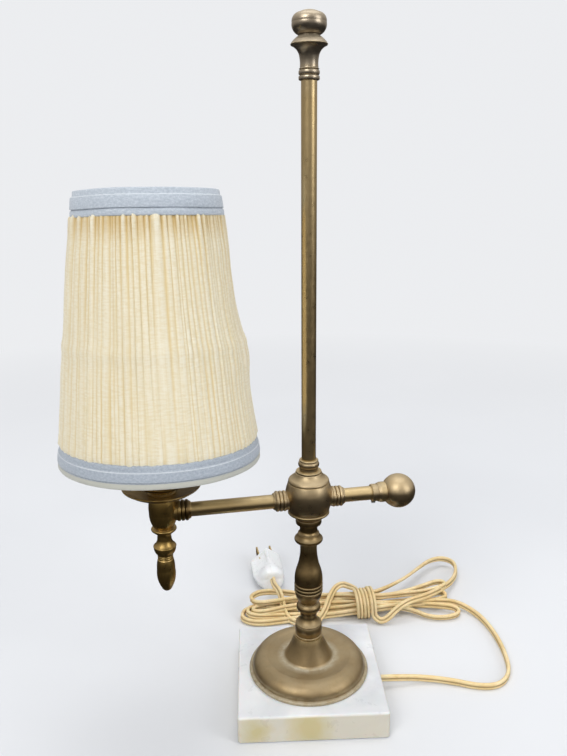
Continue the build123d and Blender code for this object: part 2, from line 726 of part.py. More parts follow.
def barrel_ring():
    outline = [
        (KNOB_NECK_R + 0.7, 0.0),
        (BARREL_FOOT_R, 0.4),
        (BARREL_FOOT_R, 1.1),
        (RING_R - 0.9, 1.3),
        (RING_R - 0.9, RING_HEIGHT - 0.4, 0.9),
        (BARREL_FOOT_R, RING_HEIGHT),
    ]
    return SCONCE * Pos(0, 0, RING_Z) * turned(outline, DROP_STUD_R + THREAD_GAP)


def drop_knob():
    outline = [
        (KNOB_NECK_R + 0.3, 0.0),
        (KNOB_NECK_R + 0.3, 1.3, 0.25),
        (KNOB_NECK_R + 0.3, 2.6, 0.25),
        (KNOB_NECK_R + 0.3, 3.6),
        (KNOB_R - 1.5, 4.4, -0.2),
        (KNOB_R - 0.3, 8.6, 0.4),
        (KNOB_R - 0.3, 9.6, 0.3),
        (KNOB_NECK_R + 0.2, 13.8, -0.4),
        (KNOB_NECK_R, KNOB_HEIGHT - 3.2),
        (KNOB_NECK_R + 0.7, KNOB_HEIGHT, -0.3),
    ]
    return SCONCE * Pos(0, 0, KNOB_Z) * turned(outline, DROP_STUD_R + THREAD_GAP)


def acorn_drop():
    """Acorn with the threaded stud that holds the knob and ring up against the barrel."""
    tip_r = DROP_R * 0.6
    tip_height = 2.8
    outline = [
        (0.0, 0.0),
        (tip_r, tip_height, dome(tip_r, tip_height)),
        (DROP_R, DROP_HEIGHT - 8.0, 1.1),
        (DROP_R - 0.8, DROP_HEIGHT - 0.5, 0.25),
        (DROP_R - 1.2, DROP_HEIGHT),
    ]
    stud = cylinder(DROP_STUD_R, DROP_STUD_LENGTH, DROP_HEIGHT)
    return SCONCE * Pos(0, 0, DROP_Z) * (turned(outline) + stud)


def sconce_nipple():
    return SCONCE * pipe(NIPPLE_R, NIPPLE_BORE_R, NIPPLE_LENGTH, DISH_Z - BARREL_THREAD_DEPTH)


def drip_dish():
    """Shallow spun dish under the socket, with a rolled rim."""
    bore = NIPPLE_R + THREAD_GAP
    under = [
        (DISH_FLOOR_R, 0.0),
        (DISH_R - 0.9, DISH_DEPTH - 0.9, 1.6),
        (DISH_R, DISH_DEPTH - 0.5, 0.15),
        (DISH_R - 0.3, DISH_DEPTH, 0.15),
        (DISH_R - 1.3, DISH_DEPTH - 0.2, 0.1),
        (DISH_FLOOR_R - 0.4, DISH_WALL, -1.5),
        (bore, DISH_WALL),
        (bore, 0.0),
    ]
    return SCONCE * Pos(0, 0, DISH_Z) * turned(under, DISH_FLOOR_R)


def seat_ring():
    outline = [
        (SEAT_RING_R - 0.3, 0.0),
        (SEAT_RING_R, 0.3),
        (SEAT_RING_R, SEAT_RING_HEIGHT - 0.5),
        (SEAT_RING_R - 0.5, SEAT_RING_HEIGHT),
    ]
    return SCONCE * Pos(0, 0, SEAT_RING_Z) * turned(outline, NIPPLE_R + THREAD_GAP)


# ---- Lamp socket, switch and bulb -----------------------------------------------------------------------------------
def socket_cap():
    def outline(inset):
        flare_z = SOCKET_CAP_NECK_HEIGHT + inset
        return [
            (SOCKET_CAP_NECK_R - inset, 0.0),
            (SOCKET_CAP_NECK_R - inset, flare_z),
            (SOCKET_CAP_R - inset, SOCKET_CAP_HEIGHT - SOCKET_LAP, 1.6),
            (SOCKET_CAP_R - inset, SOCKET_CAP_HEIGHT),
        ]
    bore = NIPPLE_R + THREAD_GAP
    inside = turned(outline(SOCKET_WALL)) - cylinder(SOCKET_CAP_R, SOCKET_CAP_FLOOR)
    return SCONCE * Pos(0, 0, SOCKET_CAP_Z) * (turned(outline(0), bore) - inside)


def switch_hole(radius):
    """Cross hole for the switch shaft, from the socket's axis out through its side."""
    return SWITCH * cylinder(radius, BULB_R)


def socket_shell():
    bead = 0.5
    outline = [
        (SHELL_R, 0.0),
        (SHELL_R, SOCKET_SHELL_HEIGHT - 3.0),
        (SHELL_R, SOCKET_SHELL_HEIGHT - 1.0, bead),
        (SHELL_R, SOCKET_SHELL_HEIGHT),
    ]
    shell = SCONCE * Pos(0, 0, SHELL_Z) * turned(outline, SHELL_R - SOCKET_WALL)
    return shell - switch_hole(SWITCH_SHAFT_R + 1.0)


def socket_sleeve():
    sleeve = pipe(SLEEVE_R, SLEEVE_R - SLEEVE_WALL, SOCKET_SHELL_HEIGHT - 1.5, SHELL_Z)
    return SCONCE * sleeve - switch_hole(SWITCH_SHAFT_R + 1.0)


def socket_core():
    core = cylinder(CORE_R, CORE_HEIGHT, CORE_Z)
    core -= cylinder(CORE_BORE_R, CORE_HEIGHT, CONTACT_Z)
    return SCONCE * core - switch_hole(SWITCH_SHAFT_R + RUNNING_GAP)


def screw_shell():
    """Brass lining of the socket that the bulb turns into."""
    return SCONCE * pipe(SCREW_SHELL_R, BULB_BASE_R + THREAD_GAP, CORE_HEIGHT - CORE_FLOOR, CONTACT_Z)


def centre_contact():
    return SCONCE * cylinder(CONTACT_R, CONTACT_THICKNESS, CONTACT_Z)


def bulb_base():
    outline = [
        (2.6, 0.0),
        (4.6, 1.2, 0.3),
        (BULB_BASE_R - 1.4, 5.0),
        (BULB_BASE_R, 6.2),
        (BULB_BASE_R, BULB_BASE_HEIGHT - 0.5),
        (BULB_NECK_R, BULB_BASE_HEIGHT),
    ]
    return SCONCE * Pos(0, 0, BULB_BASE_Z) * turned(outline)


def bulb_glass():
    def outline(inset):
        waist_r = BULB_R * 0.87
        waist_z = BULB_GLASS_HEIGHT - BULB_R * (1 + 0.493)
        return [
            (BULB_NECK_R - inset, inset),
            (waist_r - inset, waist_z, -1.6),
            (BULB_R - inset, BULB_GLASS_HEIGHT - BULB_R, (BULB_R - inset) * 0.034),
            (0.0, BULB_GLASS_HEIGHT - inset, dome(BULB_R - inset, BULB_R - inset)),
        ]
    return SCONCE * Pos(0, 0, BULB_Z) * (turned(outline(0)) - turned(outline(BULB_WALL)))


def switch_shaft():
    length = SWITCH_KNOB_START + SWITCH_KNOB_LENGTH / 2 - SWITCH_SHAFT_INSIDE
    return SWITCH * cylinder(SWITCH_SHAFT_R, length, SWITCH_SHAFT_INSIDE)


def switch_knob():
    """Turn key: a round collar that spreads into a flat, rounded paddle."""
    collar = cylinder(SWITCH_KNOB_R, SWITCH_KNOB_LENGTH * 0.35)
    paddle = extrude(SlotOverall(SWITCH_KNOB_LENGTH, SWITCH_KEY_WIDTH * 0.8), SWITCH_KEY_THICKNESS)
    paddle = fillet(paddle.edges().filter_by(GeomType.LINE, reverse=True), 0.9)
    paddle = Pos(0, -SWITCH_KEY_THICKNESS / 2, SWITCH_KNOB_LENGTH / 2) * Rot(-90, 90, 0) * paddle
    bore_depth = SWITCH_KNOB_LENGTH / 2
    knob = collar + paddle - cylinder(SWITCH_SHAFT_R + THREAD_GAP, bore_depth)
    return SWITCH * Pos(0, 0, SWITCH_KNOB_START) * knob


def lead_pair(route):
    """Two insulated leads side by side along one route, apart in the arm's Y direction."""
    leads = []
    for side in (-1, 1):
        points = [(x, y + side * LEAD_SPACING / 2, z) for x, y, z in route]
        path = FilletPolyline(*points, radius=LEAD_BEND_R)
        start = Plane(origin=path @ 0, z_dir=path % 0)
        leads.append(sweep(start * Circle(LEAD_R), path=path))
    return Compound(children=leads)


def column_leads():
    well_z = PIPE_Z - LEAD_BEND_R - LEAD_R
    drop = CORD_EXIT_Z - well_z
    route = [
        (CORD_INNER_END_X, 0, CORD_EXIT_Z),
        (CORD_INNER_END_X - LEAD_BEND_R, 0, CORD_EXIT_Z),
        (CORD_INNER_END_X - LEAD_BEND_R - drop, 0, well_z),
        (0, 0, well_z),
        (0, 0, PIPE_TOP - SOFT_GAP),
    ]
    return lead_pair(route)


def arm_leads():
    route = [
        (0, 0, PIPE_TOP),
        (0, 0, ARM_Z + LEAD_R),
        (-ARM_REACH, 0, ARM_Z + LEAD_R),
        (-ARM_REACH, 0, CORE_Z),
    ]
    return ARM_TURN * lead_pair(route)


# ---- Shade --------------------------------------------------------------------------------------------------------
def shade_radius(z):
    """Radius of the outside of the fabric at a height above the pivot."""
    share = (z + SHADE_BELOW_PIVOT) / (SHADE_ABOVE_PIVOT + SHADE_BELOW_PIVOT)
    return SHADE_BOTTOM_R + (SHADE_TOP_R - SHADE_BOTTOM_R) * share


def shade_cone(inset, thickness, low, high):
    """Conical band whose outside lies inset inside the outside of the fabric."""
    low_r = shade_radius(low) - inset
    high_r = shade_radius(high) - inset
    outline = [
        (low_r - thickness, low),
        (low_r, low),
        (high_r, high),
        (high_r - thickness, high),
    ]
    edges = [
        Line((a[0], 0, a[1]), (b[0], 0, b[1]))
        for a, b in zip(outline, outline[1:] + outline[:1])
    ]
    return SHADE * revolve(make_face(edges), axis=Axis.Z)


def shade_fabric():
    return shade_cone(0, FABRIC_THICKNESS, -SHADE_BELOW_PIVOT, SHADE_ABOVE_PIVOT)


def lining_inset():
    return FABRIC_THICKNESS + 2 * (FRAME_WIRE_R + RIB_WIRE_R + THREAD_GAP) + THREAD_GAP


def shade_lining():
    low = -SHADE_BELOW_PIVOT + RING_INSET / 2
    high = SHADE_ABOVE_PIVOT - RING_INSET / 2
    lining = shade_cone(lining_inset(), LINING_THICKNESS, low, high)
    bar_hole = cylinder(CROSS_BAR_R + THREAD_GAP, 2 * SHADE_BOTTOM_R, -SHADE_BOTTOM_R)
    return lining - SHADE * Rot(0, 90, 0) * bar_hole


def top_trim():
    low = SHADE_ABOVE_PIVOT - TRIM_HEIGHT
    return shade_cone(-TRIM_THICKNESS - THREAD_GAP, TRIM_THICKNESS, low, SHADE_ABOVE_PIVOT)


def bottom_trim():
    high = TRIM_HEIGHT - SHADE_BELOW_PIVOT
    return shade_cone(-TRIM_THICKNESS - THREAD_GAP, TRIM_THICKNESS, -SHADE_BELOW_PIVOT, high)


def ring_radius(z):
    """Middle line of the frame's wires, just inside the fabric."""
    return shade_radius(z) - FABRIC_THICKNESS - FRAME_WIRE_R - THREAD_GAP


def shade_frame():
    """Wire frame: a ring at each end and one at the clip with a bar across it, tied by ribs."""
    low = RING_INSET - SHADE_BELOW_PIVOT
    high = SHADE_ABOVE_PIVOT - RING_INSET
    wires = [Pos(0, 0, z) * Torus(ring_radius(z), FRAME_WIRE_R) for z in (low, 0, high)]
    inside = FRAME_WIRE_R + RIB_WIRE_R + THREAD_GAP
    foot = Vector(ring_radius(low) - inside, 0, low)
    head = Vector(ring_radius(high) - inside, 0, high)
    lean = Plane(origin=foot, z_dir=head - foot)
    rib = extrude(lean * Circle(RIB_WIRE_R), (head - foot).length)
    for i in range(RIB_COUNT):
        wires.append(Rot(0, 0, (i + 0.5) * 360 / RIB_COUNT) * rib)
    half = ring_radius(0) - FRAME_WIRE_R - THREAD_GAP
    wires.append(Rot(0, 90, 0) * cylinder(CROSS_BAR_R, 2 * half, -half))
    return SHADE * Compound(children=wires)


def shade_clip():
    """Two sprung hoops that grip the bulb, joined under a sleeve that carries the shade."""
    turn = 360 - 2 * CLIP_HOOP_OPEN
    clip = Rot(0, 90, 0) * pipe(CLIP_SLEEVE_R, CROSS_BAR_R + RUNNING_GAP, CLIP_SLEEVE_LENGTH,
                                -CLIP_SLEEVE_LENGTH / 2)
    hoop_z = BULB_CENTRE_Z - SHADE_PIVOT_Z
    for x in (-CLIP_HOOP_SPACING / 2, CLIP_HOOP_SPACING / 2):
        profile = Plane(origin=(HOOP_R, 0, 0), z_dir=(0, 1, 0)) * Circle(CLIP_WIRE_R)
        hoop = revolve(profile, axis=Axis.Z, revolution_arc=turn)
        upright = Rot(0, 90, 0) * Rot(0, 0, CLIP_HOOP_OPEN) * hoop
        clip += Pos(x, 0, hoop_z) * upright
    clip -= Rot(0, 90, 0) * cylinder(CROSS_BAR_R + RUNNING_GAP, 2 * CLIP_SLEEVE_LENGTH,
                                     -CLIP_SLEEVE_LENGTH)
    return SCONCE * Pos(0, 0, SHADE_PIVOT_Z) * clip


# ---- Supply cord -------------------------------------------------------------------------------------------------------
def cord_in_base():
    length = MARBLE_SIDE / 2 - CORD_INNER_END_X
    return Pos(CORD_INNER_END_X, 0, CORD_EXIT_Z) * Rot(0, 90, 0) * cylinder(CORD_R, length)


def supply_cord():
    exit_point = (MARBLE_SIDE / 2, 0.0, CORD_EXIT_Z)
    return cord_tube("supply_cord", [exit_point] + SUPPLY_ROUTE)


def cord_loop():
    return cord_tube("cord_loop", LOOP_ROUTE)


def plug_lead():
    return cord_tube("plug_lead", PLUG_LEAD_ROUTE)


def cord_hank():
    """Outer shape of the folded cord, bound by its own turns in the middle."""
    sections = []
    for x, y, width, height in HANK_STATIONS:
        middle = Plane(origin=(x, y, height / 2 + HANK_CLEARANCE), x_dir=(0, 1, 0), z_dir=(1, 0, 0))
        sections.append(middle * Ellipse(width / 2, height / 2))
    return loft(sections, ruled=True)


# ---- Plug --------------------------------------------------------------------------------------------------------------
def plug_section(share):
    """Cross-section of the plug: flat underneath, sloping sides and a narrow ridge on top."""
    half = PLUG_WIDTH / 2 * share
    high = PLUG_HEIGHT / 2 * share
    ridge = PLUG_RIDGE / 2
    corners = [
        (-half * 0.62, -high),
        (half * 0.62, -high),
        (half, -high * 0.1),
        (ridge, high),
        (-ridge, high),
        (-half, -high * 0.1),
    ]
    return fillet(Polygon(*corners, align=None).vertices(), 1.6 * share)


def plug_frame():
    """Frame at the cord end of the plug, with Z towards the blades."""
    start = PLUG_LEAD_ROUTE[0]
    return Pos(start[0], start[1], PLUG_HEIGHT / 2) * Rot(0, 0, PLUG_YAW) * Rot(-90, 0, 180)


def plug_body():
    heel = plug_section(PLUG_HEEL_SHARE)
    full = Pos(0, 0, PLUG_HEEL_LENGTH) * plug_section(1.0)
    face = Pos(0, 0, PLUG_LENGTH) * plug_section(1.0)
    drop = PLUG_HEIGHT / 2 * (1 - PLUG_HEEL_SHARE)
    body = loft([Pos(0, -drop * 0.2, 0) * heel, full], ruled=True) + loft([full, face], ruled=True)
    recess = extrude(plug_section(PLUG_RECESS_SHARE), PLUG_RECESS_DEPTH)
    body -= Pos(0, 0, PLUG_LENGTH - PLUG_RECESS_DEPTH) * recess
    return plug_frame() * (body - blade_form(THREAD_GAP))


def blade_form(grow):
    blade = Box(BLADE_THICKNESS + 2 * grow, BLADE_WIDTH + 2 * grow, BLADE_LENGTH + BLADE_ROOT,
                align=(Align.CENTER, Align.CENTER, Align.MIN))
    blades = [Pos(side * BLADE_SPACING / 2, 0, PLUG_LENGTH - BLADE_ROOT) * blade for side in (-1, 1)]
    return blades[0] + blades[1]


def plug_blades():
    blades = blade_form(0)
    tip_z = PLUG_LENGTH + BLADE_LENGTH - 4.0
    for side in (-1, 1):
        hole = Rot(0, 90, 0) * cylinder(1.5, BLADE_SPACING / 2, -BLADE_SPACING / 4)
        blades -= Pos(side * BLADE_SPACING / 2, 0, tip_z) * hole
    return plug_frame() * blades


# ---- Assembly ------------------------------------------------------------------------------------------------------------
NODES["felt_pad"] = felt_pad()
NODES["marble_base"] = marble_base()
NODES["foot"] = foot()
NODES["foot_collar"] = foot_collar()
NODES["knop"] = knop()
NODES["vase"] = vase()
NODES["flared_cup"] = flared_cup()
NODES["bearing_plate"] = bearing_plate()
NODES["friction_washer"] = friction_washer()
NODES["centre_pipe"] = centre_pipe()
NODES["base_washer"] = base_washer()
NODES["base_nut"] = base_nut()
NODES["pivot_nut"] = pivot_nut()
NODES["column_leads"] = column_leads()

NODES["cluster_body"] = cluster_body()
NODES["body_cap"] = body_cap()
NODES["neck_rings"] = neck_rings()
NODES["rod"] = rod()
NODES["rod_nipple"] = rod_nipple()
NODES["finial_collar"] = finial_collar()
NODES["finial"] = finial()

NODES["left_tube"] = left_tube()
NODES["left_inner_collar"] = arm_collar(BODY_LEFT, BODY_COLLAR_LENGTH, body_form())
NODES["left_outer_collar"] = arm_collar(BARREL_SIDE, BARREL_COLLAR_LENGTH, barrel_form())
NODES["right_inner_collar"] = arm_collar(BODY_RIGHT, BODY_COLLAR_LENGTH, body_form())
NODES["right_tube"] = right_tube()
NODES["ball_collar"] = ball_collar()
NODES["set_screw"] = set_screw()
NODES["end_ball"] = end_ball()

NODES["sconce_barrel"] = sconce_barrel()
NODES["barrel_ring"] = barrel_ring()
NODES["drop_knob"] = drop_knob()
NODES["acorn_drop"] = acorn_drop()
NODES["sconce_nipple"] = sconce_nipple()
NODES["drip_dish"] = drip_dish()
NODES["seat_ring"] = seat_ring()

NODES["socket_cap"] = socket_cap()
NODES["socket_shell"] = socket_shell()
NODES["socket_sleeve"] = socket_sleeve()
NODES["socket_core"] = socket_core()
NODES["screw_shell"] = screw_shell()
NODES["centre_contact"] = centre_contact()
NODES["bulb_base"] = bulb_base()
NODES["bulb_glass"] = bulb_glass()
NODES["switch_shaft"] = switch_shaft()
NODES["switch_knob"] = switch_knob()
NODES["arm_leads"] = arm_leads()

NODES["shade_fabric"] = shade_fabric()
NODES["shade_lining"] = shade_lining()
NODES["top_trim"] = top_trim()
NODES["bottom_trim"] = bottom_trim()
NODES["shade_frame"] = shade_frame()
NODES["shade_clip"] = shade_clip()

NODES["cord_in_base"] = cord_in_base()
NODES["supply_cord"] = supply_cord()
NODES["cord_loop"] = cord_loop()
NODES["cord_hank"] = cord_hank()
NODES["plug_lead"] = plug_lead()
NODES["plug_body"] = plug_body()
NODES["plug_blades"] = plug_blades()

os.makedirs("parts", exist_ok=True)
for name, shape in NODES.items():
    export_step(shape, "parts/" + name + ".step")
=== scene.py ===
import json
import math

import bpy
from mathutils import Matrix, Vector, noise


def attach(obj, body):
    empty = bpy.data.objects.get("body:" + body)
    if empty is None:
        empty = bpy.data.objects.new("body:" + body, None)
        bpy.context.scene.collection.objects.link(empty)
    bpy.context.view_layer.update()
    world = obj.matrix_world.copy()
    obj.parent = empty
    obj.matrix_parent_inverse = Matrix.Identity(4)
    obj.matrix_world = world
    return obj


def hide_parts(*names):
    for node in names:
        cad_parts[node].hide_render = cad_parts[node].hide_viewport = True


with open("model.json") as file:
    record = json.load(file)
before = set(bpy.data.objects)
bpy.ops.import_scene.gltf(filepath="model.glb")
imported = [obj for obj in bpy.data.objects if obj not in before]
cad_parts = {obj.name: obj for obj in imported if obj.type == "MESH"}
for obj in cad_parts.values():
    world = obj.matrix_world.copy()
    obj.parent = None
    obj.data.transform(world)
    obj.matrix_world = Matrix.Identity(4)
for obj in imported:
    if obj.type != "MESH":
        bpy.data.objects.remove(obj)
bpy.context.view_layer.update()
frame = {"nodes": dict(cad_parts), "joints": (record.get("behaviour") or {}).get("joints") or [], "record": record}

MM = 0.001
nodes = frame["nodes"]
scene = bpy.context.scene

# ---- Shared frames, as in the part -----------------------------------------------------------
ARM_YAW = math.radians(8.5)
ARM_REACH = 97.5 * MM
SHADE_TILT = math.radians(-3.5)
PIVOT_Z = next(j for j in frame["joints"] if j["name"] == "shade_tilt")["pos_m"][2]
SCONCE = Matrix.Rotation(ARM_YAW, 4, "Z") @ Matrix.Translation((-ARM_REACH, 0, 0))
SHADE = SCONCE @ Matrix.Translation((0, 0, PIVOT_Z)) @ Matrix.Rotation(SHADE_TILT, 4, "X")
SHADE_TOP_R = 41.0 * MM
SHADE_BOTTOM_R = 62.8 * MM
SHADE_SLANT = 165.6 * MM
SHADE_BOTTOM_Z = 191.0 * MM
SHADE_BELOW = PIVOT_Z - SHADE_BOTTOM_Z

# ---- Camera, fitted to the photo -------------------------------------------------------------
CAMERA_AT = (-0.03568, -0.45577, 0.365)
CAMERA_RIGHT = Vector((0.99897, -0.04468, -0.00818))
CAMERA_UP = Vector((0.01991, 0.26887, 0.96297))
CAMERA_LENS = 34.986
SENSOR_HEIGHT = 36.0


def add_camera():
    data = bpy.data.cameras.new("camera")
    data.sensor_fit = "VERTICAL"
    data.sensor_height = SENSOR_HEIGHT
    data.lens = CAMERA_LENS
    data.clip_start = 0.01
    camera = bpy.data.objects.new("camera", data)
    scene.collection.objects.link(camera)
    back = CAMERA_RIGHT.cross(CAMERA_UP)
    turn = Matrix((CAMERA_RIGHT, CAMERA_UP, back)).transposed().to_4x4()
    camera.matrix_world = Matrix.Translation(CAMERA_AT) @ turn
    scene.camera = camera


add_camera()


# ---- Shader helper ---------------------------------------------------------------------------
class Shader:
    """A procedural material. A value is a number, a colour or another node's output to link."""

    def __init__(self, name, **constants):
        self.material = bpy.data.materials.new(name)
        self.material.use_nodes = True
        self.tree = self.material.node_tree
        self.bsdf = self.tree.nodes["Principled BSDF"]
        self.place = self.add("ShaderNodeTexCoord")
        self.set(self.bsdf, constants)

    def set(self, node, values):
        for key, value in values.items():
            socket = node.inputs[key if isinstance(key, int) else key.replace("_", " ")]
            if isinstance(value, bpy.types.NodeSocket):
                self.tree.links.new(value, socket)
            else:
                socket.default_value = value

    def add(self, kind, settings=None, **inputs):
        node = self.tree.nodes.new(kind)
        for key, value in (settings or {}).items():
            setattr(node, key, value)
        self.set(node, inputs)
        return node

    def at(self, scale=(1, 1, 1), source="Object"):
        mapping = self.add("ShaderNodeMapping", Vector=self.place.outputs[source], Scale=scale)
        return mapping.outputs["Vector"]

    def noise(self, scale, detail=4.0, roughness=0.55, distortion=0.0, vector=None):
        node = self.add(
            "ShaderNodeTexNoise",
            Scale=scale,
            Detail=detail,
            Roughness=roughness,
            Distortion=distortion,
            Vector=vector or self.place.outputs["Object"],
        )
        return node.outputs["Fac"]

    def ramp(self, fac, *stops):
        node = self.add("ShaderNodeValToRGB", Fac=fac)
        elements = node.color_ramp.elements
        while len(elements) < len(stops):
            elements.new(0.5)
        for element, (position, colour) in zip(elements, stops):
            element.position = position
            element.color = (*colour, 1) if hasattr(colour, "__len__") else (colour,) * 3 + (1,)
        return node.outputs["Color"]

    def mix(self, fac, a, b, blend="MIX"):
        node = self.add("ShaderNodeMix", {"data_type": "RGBA", "blend_type": blend})
        for index, value in ((0, fac), (6, a), (7, b)):
            if isinstance(value, bpy.types.NodeSocket):
                self.tree.links.new(value, node.inputs[index])
            elif index:
                node.inputs[index].default_value = (*value, 1)
            else:
                node.inputs[index].default_value = value
        return node.outputs[2]

    def math(self, operation, a, b=0.5, clamp=False):
        node = self.add("ShaderNodeMath", {"operation": operation, "use_clamp": clamp})
        self.set(node, {0: a, 1: b})
        return node.outputs["Value"]

    def vector_math(self, operation, a, b=(0, 0, 0), output="Value"):
        node = self.add("ShaderNodeVectorMath", {"operation": operation})
        self.set(node, {0: a, 1: b})
        return node.outputs[output]

    def split(self, vector):
        return self.add("ShaderNodeSeparateXYZ", Vector=vector).outputs

    def attribute(self, name):
        return self.add("ShaderNodeAttribute", {"attribute_name": name}).outputs["Fac"]

    def waves(self, direction, **inputs):
        settings = {"wave_type": "BANDS", "bands_direction": direction}
        return self.add("ShaderNodeTexWave", settings, **inputs).outputs["Fac"]

    def blot(self, middle, reach, scale, ragged, *stops):
        """A spot round a point, with a ragged edge. The ramp's stops are shares of its reach."""
        away = self.vector_math("DISTANCE", self.place.outputs["Object"], middle)
        away = self.math("ADD", away, self.math("MULTIPLY", self.noise(scale, 4.0), ragged))
        return self.ramp(self.math("DIVIDE", away, reach), *stops)

    def colour(self, value):
        self.set(self.bsdf, {"Base_Color": value})

    def roughness(self, value):
        self.set(self.bsdf, {"Roughness": value})

    def bump(self, height, strength=0.3, distance=0.0003, onto=None):
        node = self.add("ShaderNodeBump", Height=height, Strength=strength, Distance=distance)
        if onto is not None:
            self.set(node, {"Normal": onto})
        self.set(self.bsdf, {"Normal": node.outputs["Normal"]})
        return node.outputs["Normal"]

    def blend(self, fac, a, b):
        """Mixes the outputs of two shaders."""
        node = self.add("ShaderNodeMixShader", Fac=fac)
        self.set(node, {1: a, 2: b})
        return node.outputs[0]

    def surface(self, shader):
        self.set(self.tree.nodes["Material Output"], {"Surface": shader})


# ---- Brass -----------------------------------------------------------------------------------
# Tone by place, read from the photo: partly the brass's own patina, partly painted light and shade. Heights are in
# metres above the table.
# Brighter high on the column and on the body, cap and ball: partly rubbed brass, partly painted highlight from the
# light above.
LIT_AND_RUBBED_BY_HEIGHT = (
    (0.05, 0.25), (0.06, 0.12), (0.135, 0.05), (0.157, 0.85),
    (0.25, 0.85), (0.34, 1.0), (0.39, 1.0), (0.405, 0.62),
)
FINIAL_BY_HEIGHT = ((0.405, 0.0), (0.412, 0.75))
FINIAL_GREY = (0.36, 0.32, 0.265)
LIT_AND_RUBBED_LIFT = (1.6, 1.55, 1.6)
LIT_AND_RUBBED_TINT = (0.60, 0.505, 0.36)
# Along the arm, places are X + ARM_SHIFT, because a ramp starts at 0.
ARM_SHIFT = 0.1
CUP_PLACE = ((0.012, 0.62), (0.0155, 0.0))
CUP_TINT = (0.42, 0.30, 0.11)
# The tint below darkens the arm tube under the lampshade: painted shadow of the shade. Past it, the column is a
# darker tone all over.
ARM_SHADOW_TINT = (0.56, 0.50, 0.41)
SHADOW_AND_TONE_ALONG_ARM = (
    (0.014, (1.0, 0.92, 0.72)), (0.018, ARM_SHADOW_TINT), (0.058, ARM_SHADOW_TINT), (0.08, (0.74, 0.65, 0.51)),
)
PAST_CUP = ((0.045, 0.0), (0.068, 1.0))
# Dust and painted highlight on the foot: pale rings by distance from the column, round the neck's base and on the
# rim, below a height. The zooms bring metres into a ramp's range of 0 to 1.
RINGS_ZOOM = 20.0
DUST_AND_HIGHLIGHT_RINGS = (
    (0.33, 0.0), (0.36, 0.95), (0.385, 0.95), (0.46, 0.0), (0.79, 0.0), (0.825, 0.8), (0.87, 0.9),
)
FOOT_ZOOM = 10.0
FOOT_HEIGHT = ((0.33, 1.0), (0.42, 0.0))
EDGE_TINT = (0.66, 0.50, 0.24)
DUST_TINT = (0.345, 0.285, 0.175)
RING_DUST_AND_HIGHLIGHT_TINT = (0.47, 0.42, 0.31)


